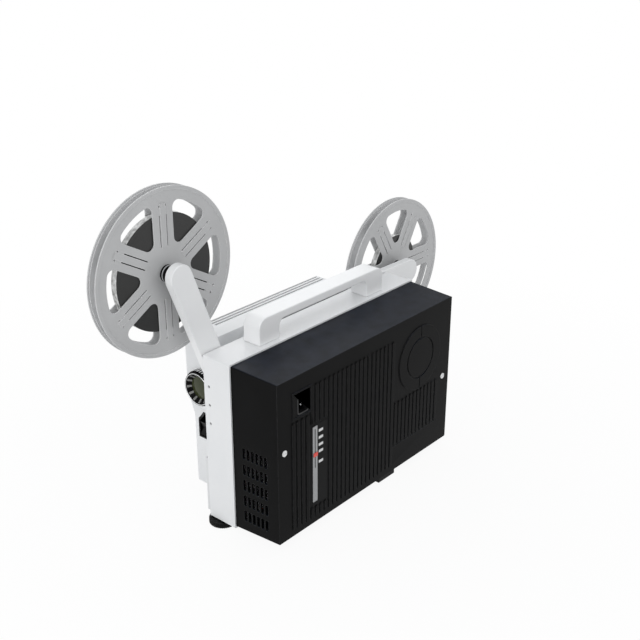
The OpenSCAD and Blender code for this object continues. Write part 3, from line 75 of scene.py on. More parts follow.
# Place, direction and lens were worked out from the edges of the cover
VIEW_AZIMUTH = math.radians(-49.264)
VIEW_ELEVATION = math.radians(23.796)
camera_data = bpy.data.cameras.new("camera")
camera_data.lens = 59.146
camera_data.sensor_width = 36
camera_data.clip_start = 0.05
camera_data.clip_end = 60
camera = bpy.data.objects.new("camera", camera_data)
bpy.context.scene.collection.objects.link(camera)
camera.location = at(-665.4, -631.7, 667.6)
towards = Vector((
    -math.sin(VIEW_AZIMUTH) * math.cos(VIEW_ELEVATION),
    math.cos(VIEW_AZIMUTH) * math.cos(VIEW_ELEVATION),
    -math.sin(VIEW_ELEVATION),
))
camera.rotation_mode = "QUATERNION"
camera.rotation_quaternion = towards.to_track_quat("-Z", "Y")
bpy.context.scene.camera = camera
bpy.context.scene.view_settings.view_transform = "Standard"


def area_lamp(name, place, aim, width, height, power, tint=(1, 1, 1)):
    """A soft lamp, in metres and watts, turned towards aim and unseen by the camera."""
    data = bpy.data.lights.new(name, "AREA")
    data.shape = "RECTANGLE"
    data.size, data.size_y = width, height
    data.energy = power
    data.color = tint
    lamp = bpy.data.objects.new(name, data)
    bpy.context.scene.collection.objects.link(lamp)
    lamp.location = place
    lamp.rotation_mode = "QUATERNION"
    lamp.rotation_quaternion = (Vector(aim) - Vector(place)).to_track_quat("-Z", "Y")
    lamp.visible_camera = False


MIDDLE = (0, 0, 0.15)
area_lamp("lens_side_lamp", (-2.2, -0.3, 1.1), MIDDLE, 1.6, 1.6, 16)
area_lamp("near_side_lamp", (0.3, -2.4, 1.5), MIDDLE, 1.8, 1.4, 6.5)
area_lamp("top_lamp", (0.2, 0.2, 2.6), MIDDLE, 2.0, 2.0, 9, (0.94, 0.97, 1))
area_lamp("far_side_lamp", (1.6, 2.0, 1.4), MIDDLE, 1.6, 1.6, 9)


def white_behind(tree, shader, share):
    """A shader that shows as white to the camera, in gloss and through glass, and as itself to other light.

    The share of white is a number, or a socket where it changes from place to place.
    """
    nodes, links = tree.nodes, tree.links
    path = nodes.new("ShaderNodeLightPath")
    seen = nodes.new("ShaderNodeMath")
    seen.operation = "MAXIMUM"
    links.new(path.outputs["Is Camera Ray"], seen.inputs[0])
    links.new(path.outputs["Is Transmission Ray"], seen.inputs[1])
    seen_all = nodes.new("ShaderNodeMath")
    seen_all.operation = "MAXIMUM"
    links.new(seen.outputs[0], seen_all.inputs[0])
    links.new(path.outputs["Is Glossy Ray"], seen_all.inputs[1])
    part = nodes.new("ShaderNodeMath")
    part.operation = "MULTIPLY"
    if isinstance(share, (int, float)):
        part.inputs[1].default_value = share
    else:
        links.new(share, part.inputs[1])
    links.new(seen_all.outputs[0], part.inputs[0])
    white = nodes.new("ShaderNodeEmission" if shader.type != "BACKGROUND" else "ShaderNodeBackground")
    white.inputs["Color"].default_value = (1, 1, 1, 1)
    white.inputs["Strength"].default_value = 1
    mix = nodes.new("ShaderNodeMixShader")
    links.new(part.outputs[0], mix.inputs[0])
    links.new(shader.outputs[0], mix.inputs[1])
    links.new(white.outputs[0], mix.inputs[2])
    return mix


world = bpy.data.worlds.new("studio")
bpy.context.scene.world = world
world.use_nodes = True
world.node_tree.nodes.clear()
room = world.node_tree.nodes.new("ShaderNodeBackground")
room.inputs["Color"].default_value = (0.97, 0.985, 1, 1)
room.inputs["Strength"].default_value = 0.62
world_out = world.node_tree.nodes.new("ShaderNodeOutputWorld")
world.node_tree.links.new(white_behind(world.node_tree, room, 1).outputs[0], world_out.inputs["Surface"])

FLOOR_HALF_WIDTH = 14
# Near the machine the floor takes a faint shade, and from SHADE_END metres outwards none shows
SHADE_START = 0.2
SHADE_END = 0.75
WHITE_NEAR = 0.93
floor_mesh = bpy.data.meshes.new("floor")
floor_shape = bmesh.new()
bmesh.ops.create_grid(floor_shape, x_segments=1, y_segments=1, size=FLOOR_HALF_WIDTH)
floor_shape.to_mesh(floor_mesh)
floor_shape.free()
floor = bpy.data.objects.new("floor", floor_mesh)
bpy.context.scene.collection.objects.link(floor)
floor_paint = bpy.data.materials.new("pale_floor")
floor_paint.use_nodes = True
floor_paint.node_tree.nodes.clear()
matt = floor_paint.node_tree.nodes.new("ShaderNodeBsdfDiffuse")
matt.inputs["Color"].default_value = (0.86, 0.86, 0.86, 1)
floor_out = floor_paint.node_tree.nodes.new("ShaderNodeOutputMaterial")
floor_place = floor_paint.node_tree.nodes.new("ShaderNodeTexCoord")
floor_reach = floor_paint.node_tree.nodes.new("ShaderNodeVectorMath")
floor_reach.operation = "LENGTH"
floor_paint.node_tree.links.new(floor_place.outputs["Object"], floor_reach.inputs[0])
floor_share = floor_paint.node_tree.nodes.new("ShaderNodeMapRange")
floor_share.inputs["From Min"].default_value = SHADE_START
floor_share.inputs["From Max"].default_value = SHADE_END
floor_share.inputs["To Min"].default_value = WHITE_NEAR
floor_share.inputs["To Max"].default_value = 1
floor_paint.node_tree.links.new(floor_reach.outputs["Value"], floor_share.inputs["Value"])
floor_look = white_behind(floor_paint.node_tree, matt, floor_share.outputs["Result"])
floor_paint.node_tree.links.new(floor_look.outputs[0], floor_out.inputs["Surface"])
floor_mesh.materials.append(floor_paint)


# Effects that several finishes share

def new_effect(name, inputs, outputs):
    """An empty node group with named inputs and outputs."""
    tree = bpy.data.node_groups.new(name, "ShaderNodeTree")
    for label, kind, value in inputs:
        socket = tree.interface.new_socket(label, in_out="INPUT", socket_type="NodeSocket" + kind)
        socket.default_value = value
    for label, kind in outputs:
        tree.interface.new_socket(label, in_out="OUTPUT", socket_type="NodeSocket" + kind)
    return tree, tree.nodes.new("NodeGroupInput"), tree.nodes.new("NodeGroupOutput")


def math_node(tree, operation, first, second=None, third=None, clamp=False):
    node = tree.nodes.new("ShaderNodeMath")
    node.operation = operation
    node.use_clamp = clamp
    for socket, value in zip(node.inputs, (first, second, third)):
        if value is None:
            continue
        if isinstance(value, (int, float)):
            socket.default_value = value
        else:
            tree.links.new(value, socket)
    return node.outputs[0]


def noise_node(tree, scale, detail, vector=None):
    node = tree.nodes.new("ShaderNodeTexNoise")
    node.inputs["Detail"].default_value = detail
    if isinstance(scale, (int, float)):
        node.inputs["Scale"].default_value = scale
    else:
        tree.links.new(scale, node.inputs["Scale"])
    if vector is None:
        vector = tree.nodes.new("ShaderNodeTexCoord").outputs["Object"]
    tree.links.new(vector, node.inputs["Vector"])
    return node.outputs["Fac"]


def bump_node(tree, height, strength, distance):
    node = tree.nodes.new("ShaderNodeBump")
    node.inputs["Distance"].default_value = distance
    tree.links.new(height, node.inputs["Height"])
    if isinstance(strength, (int, float)):
        node.inputs["Strength"].default_value = strength
    else:
        tree.links.new(strength, node.inputs["Strength"])
    return node.outputs["Normal"]


# Depths of relief of moulded grain, fine lines and wound turns, and the strength of the last one
GRAIN_DEPTH = 0.15 * MM
LINE_DEPTH = 0.05 * MM
TURN_DEPTH = 0.2 * MM
TURN_RELIEF = 0.6
# A noise swings about this value
NOISE_MIDDLE = 0.5
# How much of the noise goes into the roughness of grain, lines and turns, and the least roughness of turns
FLECK_GLOSS = 0.12
LINE_GLOSS = 0.25
TURN_GLOSS = 0.3
TURN_GLOSS_LEAST = 0.25
# Lighter edges, rubbed wear on some finishes and a painted highlight on others: how fast the mask rises as
# the rounded normal leans, and patches in a metre
LEAN_GAIN = 5
WEAR_AND_HIGHLIGHT_PATCHES = 260
# Dust, and on the black cover a painted bluish reflection: the least upward part of a normal that takes it,
# how fast the mask rises, and patches in a metre
DUST_AND_SHEEN_LEAST_UP = 0.55
DUST_AND_SHEEN_GAIN = 2.2
DUST_AND_SHEEN_PATCHES = 60


def make_grain_effect():
    """The fine leathery grain of a moulded face, with slow changes of tone and gloss."""
    tree, given, out = new_effect(
        "moulded_grain",
        [("Scale", "Float", 2500), ("Depth", "Float", 0.2), ("Gloss", "Float", 0.4),
         ("Gloss change", "Float", 0.1), ("Tone scale", "Float", 18)],
        [("Tone", "Float"), ("Roughness", "Float"), ("Normal", "Vector")])
    slow = noise_node(tree, given.outputs["Tone scale"], 3)
    fine = noise_node(tree, given.outputs["Scale"], 3)
    tree.links.new(slow, out.inputs["Tone"])
    slow_swing = math_node(tree, "SUBTRACT", slow, NOISE_MIDDLE)
    fine_swing = math_node(tree, "SUBTRACT", fine, NOISE_MIDDLE)
    change = math_node(tree, "MULTIPLY", slow_swing, given.outputs["Gloss change"])
    flecks = math_node(tree, "MULTIPLY_ADD", fine_swing, FLECK_GLOSS, change)
    gloss = math_node(tree, "ADD", given.outputs["Gloss"], flecks, clamp=True)
    tree.links.new(gloss, out.inputs["Roughness"])
    tree.links.new(bump_node(tree, fine, given.outputs["Depth"], GRAIN_DEPTH), out.inputs["Normal"])
    return tree


def make_wear_and_highlight_effect():
    """Where an edge is lighter, from how far a rounded normal leans off the face: rubbed bright on some
    finishes, a painted highlight on the black cover and the reels.
    """
    tree, given, out = new_effect(
        "worn_and_highlit_edges", [("Radius", "Float", 0.8 * MM), ("Amount", "Float", 0.5)], [("Mask", "Float")])
    rounded = tree.nodes.new("ShaderNodeBevel")
    rounded.samples = 4
    tree.links.new(given.outputs["Radius"], rounded.inputs["Radius"])
    flat = tree.nodes.new("ShaderNodeNewGeometry")
    dot = tree.nodes.new("ShaderNodeVectorMath")
    dot.operation = "DOT_PRODUCT"
    tree.links.new(rounded.outputs["Normal"], dot.inputs[0])
    tree.links.new(flat.outputs["Normal"], dot.inputs[1])
    off_face = math_node(tree, "SUBTRACT", 1, dot.outputs["Value"])
    lean = math_node(tree, "MULTIPLY", off_face, LEAN_GAIN, clamp=True)
    broken = math_node(tree, "MULTIPLY", lean, noise_node(tree, WEAR_AND_HIGHLIGHT_PATCHES, 4))
    mask = math_node(tree, "MULTIPLY", broken, given.outputs["Amount"], clamp=True)
    tree.links.new(mask, out.inputs["Mask"])
    return tree


def make_dust_and_sheen_effect():
    """Dust on what faces up; on the black cover the same mask paints a bluish reflection."""
    tree, given, out = new_effect("dust_and_painted_sheen", [("Amount", "Float", 0.2)], [("Mask", "Float")])
    place = tree.nodes.new("ShaderNodeTexCoord")
    parts = tree.nodes.new("ShaderNodeSeparateXYZ")
    tree.links.new(place.outputs["Normal"], parts.inputs[0])
    above_least = math_node(tree, "SUBTRACT", parts.outputs["Z"], DUST_AND_SHEEN_LEAST_UP)
    up = math_node(tree, "MULTIPLY", above_least, DUST_AND_SHEEN_GAIN, clamp=True)
    patchy = math_node(tree, "MULTIPLY", up, noise_node(tree, DUST_AND_SHEEN_PATCHES, 6))
    mask = math_node(tree, "MULTIPLY", patchy, given.outputs["Amount"], clamp=True)
    tree.links.new(mask, out.inputs["Mask"])
    return tree


def make_brushing_effect():
    """Fine lines along one direction, as brushing, drawing or turning leaves in metal."""
    tree, given, out = new_effect(
        "fine_lines",
        [("Stretch", "Vector", (60, 2500, 2500)), ("Depth", "Float", 0.1), ("Gloss", "Float", 0.3)],
        [("Tone", "Float"), ("Roughness", "Float"), ("Normal", "Vector")])
    place = tree.nodes.new("ShaderNodeTexCoord")
    stretch = tree.nodes.new("ShaderNodeVectorMath")
    stretch.operation = "MULTIPLY"
    tree.links.new(place.outputs["Object"], stretch.inputs[0])
    tree.links.new(given.outputs["Stretch"], stretch.inputs[1])
    lines = noise_node(tree, 1, 3, stretch.outputs[0])
    tree.links.new(lines, out.inputs["Tone"])
    spread = math_node(tree, "MULTIPLY", math_node(tree, "SUBTRACT", lines, NOISE_MIDDLE), LINE_GLOSS)
    gloss = math_node(tree, "ADD", given.outputs["Gloss"], spread, clamp=True)
    tree.links.new(gloss, out.inputs["Roughness"])
    tree.links.new(bump_node(tree, lines, given.outputs["Depth"], LINE_DEPTH), out.inputs["Normal"])
    return tree


def make_turns_effect():
    """Rings about an axis along Y: the edges of many wound turns."""
    tree, given, out = new_effect(
        "wound_turns", [("Centre", "Vector", (0, 0, 0)), ("Pitch", "Float", 0.8 * MM)],
        [("Tone", "Float"), ("Roughness", "Float"), ("Normal", "Vector")])
    place = tree.nodes.new("ShaderNodeTexCoord")
    offset = tree.nodes.new("ShaderNodeVectorMath")
    offset.operation = "SUBTRACT"
    tree.links.new(place.outputs["Object"], offset.inputs[0])
    tree.links.new(given.outputs["Centre"], offset.inputs[1])
    flat = tree.nodes.new("ShaderNodeVectorMath")
    flat.operation = "MULTIPLY"
    flat.inputs[1].default_value = (1, 0, 1)
    tree.links.new(offset.outputs[0], flat.inputs[0])
    radius = tree.nodes.new("ShaderNodeVectorMath")
    radius.operation = "LENGTH"
    tree.links.new(flat.outputs[0], radius.inputs[0])
    turn = math_node(tree, "DIVIDE", radius.outputs["Value"], given.outputs["Pitch"])
    line = tree.nodes.new("ShaderNodeCombineXYZ")
    tree.links.new(turn, line.inputs["X"])
    rings = noise_node(tree, 1, 5, line.outputs[0])
    tree.links.new(rings, out.inputs["Tone"])
    tree.links.new(math_node(tree, "MULTIPLY_ADD", rings, TURN_GLOSS, TURN_GLOSS_LEAST),
                   out.inputs["Roughness"])
    tree.links.new(bump_node(tree, rings, TURN_RELIEF, TURN_DEPTH), out.inputs["Normal"])
    return tree


GRAIN = make_grain_effect()
WEAR_AND_HIGHLIGHT = make_wear_and_highlight_effect()
DUST_AND_SHEEN = make_dust_and_sheen_effect()
LINES = make_brushing_effect()
TURNS = make_turns_effect()


# Finishes

# The part of a noise's range over which a finish goes from its first tone to its second
TONE_RANGE = (0.3, 0.7)
TURN_TONE_RANGE = (0.35, 0.7)
TURN_PITCH = 0.9 * MM


def blank_finish(name):
    material = bpy.data.materials.new(name)
    material.use_nodes = True
    tree = material.node_tree
    return material, tree, tree.nodes["Principled BSDF"]


def placed_effect(tree, effect, **values):
    """A shared effect placed in a material with its own values."""
    node = tree.nodes.new("ShaderNodeGroup")
    node.node_tree = effect
    for label, value in values.items():
        node.inputs[label.replace("_", " ")].default_value = value
    return node


def mixed(tree, mask, first, second):
    """A colour between first and second; first may be a colour or a socket."""
    node = tree.nodes.new("ShaderNodeMix")
    node.data_type = "RGBA"
    tree.links.new(mask, node.inputs["Factor"])
    if isinstance(first, tuple):
        node.inputs["A"].default_value = (*first, 1)
    else:
        tree.links.new(first, node.inputs["A"])
    node.inputs["B"].default_value = (*second, 1)
    return node.outputs["Result"]


def contrast(tree, value, low, high):
    node = tree.nodes.new("ShaderNodeMapRange")
    node.inputs["From Min"].default_value = low
    node.inputs["From Max"].default_value = high
    tree.links.new(value, node.inputs["Value"])
    return node.outputs["Result"]


def plastic(name, tone_a, tone_b, gloss, gloss_change=0.1, scale=2500, depth=0.2, specular=0.5,
            worn_and_highlight_tone=None, wear_and_highlight=0.0, dust_and_sheen=0.0, dust_and_sheen_tone=(0.5, 0.49, 0.46), coat=0.0, tone_scale=18):
    """Moulded or painted surface between two tones, with lighter edges and a tone on what faces up where they
    are given: wear and dust on some finishes, painted edge highlights on the black cover and the reels, and a
    painted bluish reflection on top of the black cover.
    """
    material, tree, shader = blank_finish(name)
    grain = placed_effect(tree, GRAIN, Scale=scale, Depth=depth, Gloss=gloss, Gloss_change=gloss_change,
                          Tone_scale=tone_scale)
    colour = mixed(tree, contrast(tree, grain.outputs["Tone"], *TONE_RANGE), tone_a, tone_b)
    if wear_and_highlight:
        worn_and_highlit = placed_effect(tree, WEAR_AND_HIGHLIGHT, Amount=wear_and_highlight)
        colour = mixed(tree, worn_and_highlit.outputs["Mask"], colour, worn_and_highlight_tone)
    if dust_and_sheen:
        dust_and_sheen_node = placed_effect(tree, DUST_AND_SHEEN, Amount=dust_and_sheen)
        colour = mixed(tree, dust_and_sheen_node.outputs["Mask"], colour, dust_and_sheen_tone)
    tree.links.new(colour, shader.inputs["Base Color"])
    tree.links.new(grain.outputs["Roughness"], shader.inputs["Roughness"])
    tree.links.new(grain.outputs["Normal"], shader.inputs["Normal"])
    shader.inputs["Specular IOR Level"].default_value = specular
    shader.inputs["Coat Weight"].default_value = coat
    return material


def metal(name, tone_a, tone_b, gloss, stretch=(60, 2500, 2500), depth=0.1, wear_and_highlight=0.0, worn_and_highlight_tone=(0.8, 0.8, 0.8)):
    """Metal with fine lines; the lines run along the direction with the smallest stretch."""
    material, tree, shader = blank_finish(name)
    lines = placed_effect(tree, LINES, Stretch=stretch, Depth=depth, Gloss=gloss)
    colour = mixed(tree, contrast(tree, lines.outputs["Tone"], *TONE_RANGE), tone_a, tone_b)
    if wear_and_highlight:
        worn_and_highlit = placed_effect(tree, WEAR_AND_HIGHLIGHT, Amount=wear_and_highlight)
        colour = mixed(tree, worn_and_highlit.outputs["Mask"], colour, worn_and_highlight_tone)
    tree.links.new(colour, shader.inputs["Base Color"])
    tree.links.new(lines.outputs["Roughness"], shader.inputs["Roughness"])
    tree.links.new(lines.outputs["Normal"], shader.inputs["Normal"])
    shader.inputs["Metallic"].default_value = 1
    return material


def clear(name, tone_a, tone_b, gloss, ior, weight, coat=0.0, coat_tint=(1, 1, 1)):
    """Glass; weight is the share of light that passes through."""
    material, tree, shader = blank_finish(name)
    grain = placed_effect(tree, GRAIN, Scale=300, Depth=0.01, Gloss=gloss, Gloss_change=0.02)
    colour = mixed(tree, contrast(tree, grain.outputs["Tone"], *TONE_RANGE), tone_a, tone_b)
    tree.links.new(colour, shader.inputs["Base Color"])
    tree.links.new(grain.outputs["Roughness"], shader.inputs["Roughness"])
    shader.inputs["IOR"].default_value = ior
    shader.inputs["Transmission Weight"].default_value = weight
    shader.inputs["Coat Weight"].default_value = coat
    shader.inputs["Coat Tint"].default_value = (*coat_tint, 1)
    return material


def wound(name, centre, tone_a, tone_b):
    """The side of wound film, whose turns lie about an axis along Y through centre."""
    material, tree, shader = blank_finish(name)
    turns = placed_effect(tree, TURNS, Centre=centre, Pitch=TURN_PITCH)
    colour = mixed(tree, contrast(tree, turns.outputs["Tone"], *TURN_TONE_RANGE), tone_a, tone_b)
    tree.links.new(colour, shader.inputs["Base Color"])
    tree.links.new(turns.outputs["Roughness"], shader.inputs["Roughness"])
    tree.links.new(turns.outputs["Normal"], shader.inputs["Normal"])
    return material


def spin_centre(node):
    """The middle of a node's box, which for a turning piece lies on its axis."""
    low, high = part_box(node)
    return (low + high) / 2


white_case = plastic("white_case", (0.79, 0.8, 0.81), (0.83, 0.835, 0.84), 0.42, depth=0.16, scale=2200,
                     worn_and_highlight_tone=(0.9, 0.9, 0.9), wear_and_highlight=0.25, dust_and_sheen=0.06)
white_handle = plastic("white_handle", (0.88, 0.884, 0.89), (0.92, 0.923, 0.926), 0.36, depth=0.12,
                       scale=1800)
white_arm = plastic("white_arm", (0.83, 0.835, 0.84), (0.87, 0.873, 0.876), 0.36, depth=0.12, scale=1800)
# Black cover: its lighter edges are painted highlights
black_case = plastic("black_case", (0.0036, 0.0036, 0.0037), (0.0054, 0.0054, 0.0056), 0.36, 0.1, 1500, 0.2,
                     specular=0.045, worn_and_highlight_tone=(0.1, 0.101, 0.104), wear_and_highlight=0.9, dust_and_sheen=0.12,
                     # The bluish tone on what faces up is a painted reflection of light from above, not dust
                     dust_and_sheen_tone=(0.13, 0.17, 0.28))
black_knob = plastic("black_knob", (0.012, 0.012, 0.013), (0.02, 0.02, 0.021), 0.32, 0.1, 1800, 0.2,
                     specular=0.35, worn_and_highlight_tone=(0.12, 0.12, 0.12), wear_and_highlight=0.6)
black_rocker = plastic("black_rocker", (0.002, 0.002, 0.002), (0.004, 0.004, 0.004), 0.2, 0.06, 1200, 0.1,
                       specular=0.12)
black_gloss = plastic("black_gloss", (0.002, 0.002, 0.002), (0.004, 0.004, 0.004), 0.12, 0.04, 1200, 0.04,
                      specular=0.05)
# Reels: their lighter edges are painted highlights
reel_grey = plastic("reel_grey", (0.49, 0.491, 0.493), (0.53, 0.531, 0.533), 0.34, 0.12, 1600, 0.14,
                    specular=0.45, worn_and_highlight_tone=(0.9, 0.9, 0.9), wear_and_highlight=1.5)
pale_moulding = plastic("pale_moulding", (0.56, 0.57, 0.58), (0.63, 0.64, 0.65), 0.4)
rail_grey = plastic("rail_grey", (0.3, 0.303, 0.308), (0.36, 0.363, 0.368), 0.34, depth=0.1)
drilled_shade = plastic("drilled_shade", (0.07, 0.07, 0.07), (0.1, 0.1, 0.1), 0.6, specular=0.2)
groove_shade = plastic("groove_shade", (0.14, 0.14, 0.14), (0.18, 0.18, 0.18), 0.6, specular=0.2)
# The cone's ribs are grey against the black cone to paint its reflections
rib_grey_painted_reflection = plastic("rib_grey_painted_reflection", (0.2, 0.2, 0.195), (0.26, 0.26, 0.25), 0.3, 0.06, 1200, 0.05, specular=0.3)
panel_black = plastic("panel_black", (0.0034, 0.0034, 0.0036), (0.005, 0.005, 0.0053), 0.3, 0.06, 900, 0.08,
                      specular=0.06)
marker_red = plastic("marker_red", (0.68, 0.045, 0.035), (0.78, 0.07, 0.05), 0.28, 0.08, 1500, 0.1)
printed_white = plastic("printed_white", (0.62, 0.62, 0.62), (0.72, 0.72, 0.72), 0.5, 0.05, 3000, 0.1)
screw_white = plastic("screw_white", (0.8, 0.8, 0.8), (0.88, 0.88, 0.88), 0.35, 0.1, 1800, 0.1,
                      worn_and_highlight_tone=(0.5, 0.5, 0.5), wear_and_highlight=0.5)
foot_rubber = plastic("foot_rubber", (0.016, 0.016, 0.016), (0.03, 0.03, 0.029), 0.8, 0.1, 1200, 0.5,
                      specular=0.2, dust_and_sheen=0.2)
belt_rubber = plastic("belt_rubber", (0.02, 0.02, 0.02), (0.035, 0.034, 0.033), 0.62, 0.1, 900, 0.4,
                      specular=0.25)
plate_paint = plastic("plate_paint", (0.7, 0.71, 0.715), (0.75, 0.755, 0.76), 0.32, 0.1, 1200, 0.08,
                      coat=0.15)
dark_paint = plastic("dark_paint", (0.03, 0.031, 0.033), (0.055, 0.056, 0.06), 0.5, 0.12, 900, 0.3,
                     worn_and_highlight_tone=(0.3, 0.3, 0.3), wear_and_highlight=0.5)
ceramic = plastic("ceramic", (0.7, 0.67, 0.6), (0.78, 0.75, 0.69), 0.55, 0.1, 1500, 0.2)
board_green = plastic("board_green", (0.012, 0.1, 0.04), (0.02, 0.15, 0.06), 0.28, 0.1, 500, 0.15, coat=0.3)
steel = metal("steel", (0.5, 0.51, 0.53), (0.66, 0.67, 0.69), 0.26, wear_and_highlight=0.3)
bright_rim = metal("bright_rim", (0.72, 0.73, 0.74), (0.86, 0.87, 0.88), 0.16, (300, 1800, 1800), 0.05)
brass = metal("brass", (0.68, 0.5, 0.22), (0.8, 0.62, 0.3), 0.3, wear_and_highlight=0.3, worn_and_highlight_tone=(0.9, 0.75, 0.45))
cast_iron = metal("cast_iron", (0.12, 0.12, 0.125), (0.22, 0.22, 0.225), 0.5, (900, 900, 900), 0.4)
laminated = metal("laminated", (0.14, 0.14, 0.15), (0.3, 0.3, 0.31), 0.45, (40, 2500, 40), 0.5)
copper = metal("copper", (0.5, 0.24, 0.12), (0.68, 0.36, 0.2), 0.3, (2500, 60, 2500), 0.5)
mirror = metal("mirror", (0.86, 0.87, 0.88), (0.92, 0.93, 0.94), 0.1, (200, 200, 200), 0.03)
coated_glass = clear("coated_glass", (0.042, 0.05, 0.024), (0.055, 0.06, 0.022), 0.08, 1.3, 0.15, 0.1,
                     (0.8, 0.95, 0.6))
lamp_glass = clear("lamp_glass", (0.96, 0.96, 0.96), (0.9, 0.92, 0.94), 0.04, 1.46, 0.95)
front_turns = wound("front_turns", spin_centre("front_film"), (0.006, 0.006, 0.006), (0.018, 0.018, 0.0175))
rear_turns = wound("rear_turns", spin_centre("rear_film"), (0.006, 0.006, 0.006), (0.018, 0.018, 0.0175))
film_back = plastic("film_back", (0.22, 0.22, 0.215), (0.8, 0.8, 0.79), 0.24, 0.2, 700, 0.9, specular=0.6,
                    tone_scale=190)
# Lighter grey for the flanges' inner faces: painted light where the space between the flanges lies in shade
reel_inside_painted_light = plastic("reel_inside_painted_light", (0.62, 0.621, 0.624), (0.66, 0.661, 0.664), 0.34, 0.12, 1600, 0.14)
# Light grey that paints highlights, on the flanges' edges and the focus ring's lands
painted_highlight_grey = plastic("painted_highlight_grey", (0.72, 0.722, 0.725), (0.82, 0.822, 0.825), 0.25, 0.1, 900, 0.1)

FINISHES = {
    white_case: ["main_housing", "film_side_housing", "lamp_door"],
    white_handle: ["handle"],
    white_arm: ["front_arm", "rear_arm"],
    black_case: ["back_cover"],
    black_knob: ["function_knob", "framing_knob", "inching_knob", "mains_inlet"],
    black_rocker: ["rocker_switch", "switch_bezel", "front_spindle", "rear_spindle", "levelling_wheel"],
    reel_grey: ["front_reel", "rear_reel"],
    pale_moulding: ["guide_roller"],
    rail_grey: ["selector_rail"],
    panel_black: ["selector_plate"],
    marker_red: ["selector_slider"],
    screw_white: ["cover_screws"],
    foot_rubber: ["rubber_feet"],
    belt_rubber: ["drive_belt"],
    plate_paint: ["mechanism_plate", "fan_impeller"],
    black_gloss: ["lens_barrel", "focus_ring"],
    dark_paint: ["lens_holder", "shutter", "sprocket_shoes", "fan_housing"],
    ceramic: ["lamp_holder"],
    board_green: ["circuit_board"],
    steel: ["inlet_pins", "handle_screws", "case_screws", "door_hinge_pins", "gate_plate", "pressure_plate",
            "claw", "upper_sprocket", "lower_sprocket", "main_shaft", "roller_axle", "levelling_stem",
            "motor_rotor", "pivot_bolts"],
    brass: ["idler_gear", "shaft_bushes", "shutter_bearings"],
    cast_iron: ["motor"],
    laminated: ["transformer_core"],
    copper: ["transformer_winding"],
    mirror: ["lamp_reflector"],
    coated_glass: ["lens_glasses"],
    lamp_glass: ["lamp"],
    front_turns: ["front_film"],
    rear_turns: ["rear_film"],
}
FINISH_OF = {node: finish for finish, members in FINISHES.items() for node in members}
for node, finish in FINISH_OF.items():
    cad = frame["nodes"][node]
    if not cad.material_slots:
        cad.data.materials.append(finish)
    for held in cad.material_slots:
        held.material = finish


# Pieces

# Faces that meet at less than this are shaded as one surface
EVEN_ANGLE = math.radians(50)


def piece(name, shape, finish, body, replaced=()):
    """Ends a bmesh as a shown piece that rides on a body. A list of finishes goes by material index."""
    mesh = bpy.data.meshes.new(name)
    shape.to_mesh(mesh)
    shape.free()
    for one in finish if isinstance(finish, list) else [finish]:
        mesh.materials.append(one)
    mesh.shade_smooth()
    mesh.set_sharp_from_angle(angle=EVEN_ANGLE)
    made = bpy.data.objects.new(name, mesh)
    bpy.context.scene.collection.objects.link(made)
    even = made.modifiers.new("even_light", "WEIGHTED_NORMAL")
    even.keep_sharp = True
    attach(made, body)
    if replaced:
        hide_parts(*replaced)
    return made


SEAM = 0.002 * MM
FLAT_ANGLE = math.radians(0.5)
# An edge is rounded where it is sharper than this angle and longer than this many millimetres
SHARP_ANGLE = math.radians(50)
SHORTEST_EDGE = 0.5


def rounded_copy(node, width, segments, roundable=None, flat=None):
    """The node's own shape with its sharp outer edges rounded by a width in millimetres.

    Where a piece has cuts too fine to round, roundable tells from an edge's middle whether it is rounded.
    A flat is a place and an outward direction: what stands past it is cut off before the rounding.
    """
    source = frame["nodes"][node]
    shape = bmesh.new()
    shape.from_mesh(source.data)
    bmesh.ops.remove_doubles(shape, verts=shape.verts, dist=SEAM)
    bmesh.ops.dissolve_limit(shape, angle_limit=FLAT_ANGLE, verts=shape.verts, edges=shape.edges)
    if flat:
        cut = bmesh.ops.bisect_plane(shape, geom=shape.verts[:] + shape.edges[:] + shape.faces[:], dist=SEAM,
                                     plane_co=flat[0], plane_no=flat[1], clear_outer=True)
        rim = [part for part in cut["geom_cut"] if isinstance(part, bmesh.types.BMEdge)]
        bmesh.ops.holes_fill(shape, edges=rim)
        bmesh.ops.recalc_face_normals(shape, faces=shape.faces)
    sharp = [edge for edge in shape.edges if len(edge.link_faces) == 2
             and edge.calc_face_angle_signed(0) > SHARP_ANGLE and edge.calc_length() > SHORTEST_EDGE * MM]
    if roundable:
        sharp = [edge for edge in sharp if roundable((edge.verts[0].co + edge.verts[1].co) / 2)]
    bmesh.ops.bevel(shape, geom=sharp, offset=width * MM, offset_type="OFFSET", affect="EDGES",
                    segments=segments, profile=0.5, material=-1, clamp_overlap=False)
    return piece(node + ".rounded", shape, FINISH_OF[node], source["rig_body"], [node])


def second_finish(made, finish, test):
    """Gives a piece a second finish on the faces that a test picks."""
    made.data.materials.append(finish)
    for face in made.data.polygons:
        if test(face):
            face.material_index = 1


# Widths of rounding, in millimetres, that stand apart from the table
ARM_ROUNDING = 1.0
REEL_ROUNDING = 0.3
KNURLED_ROUNDING = 0.15
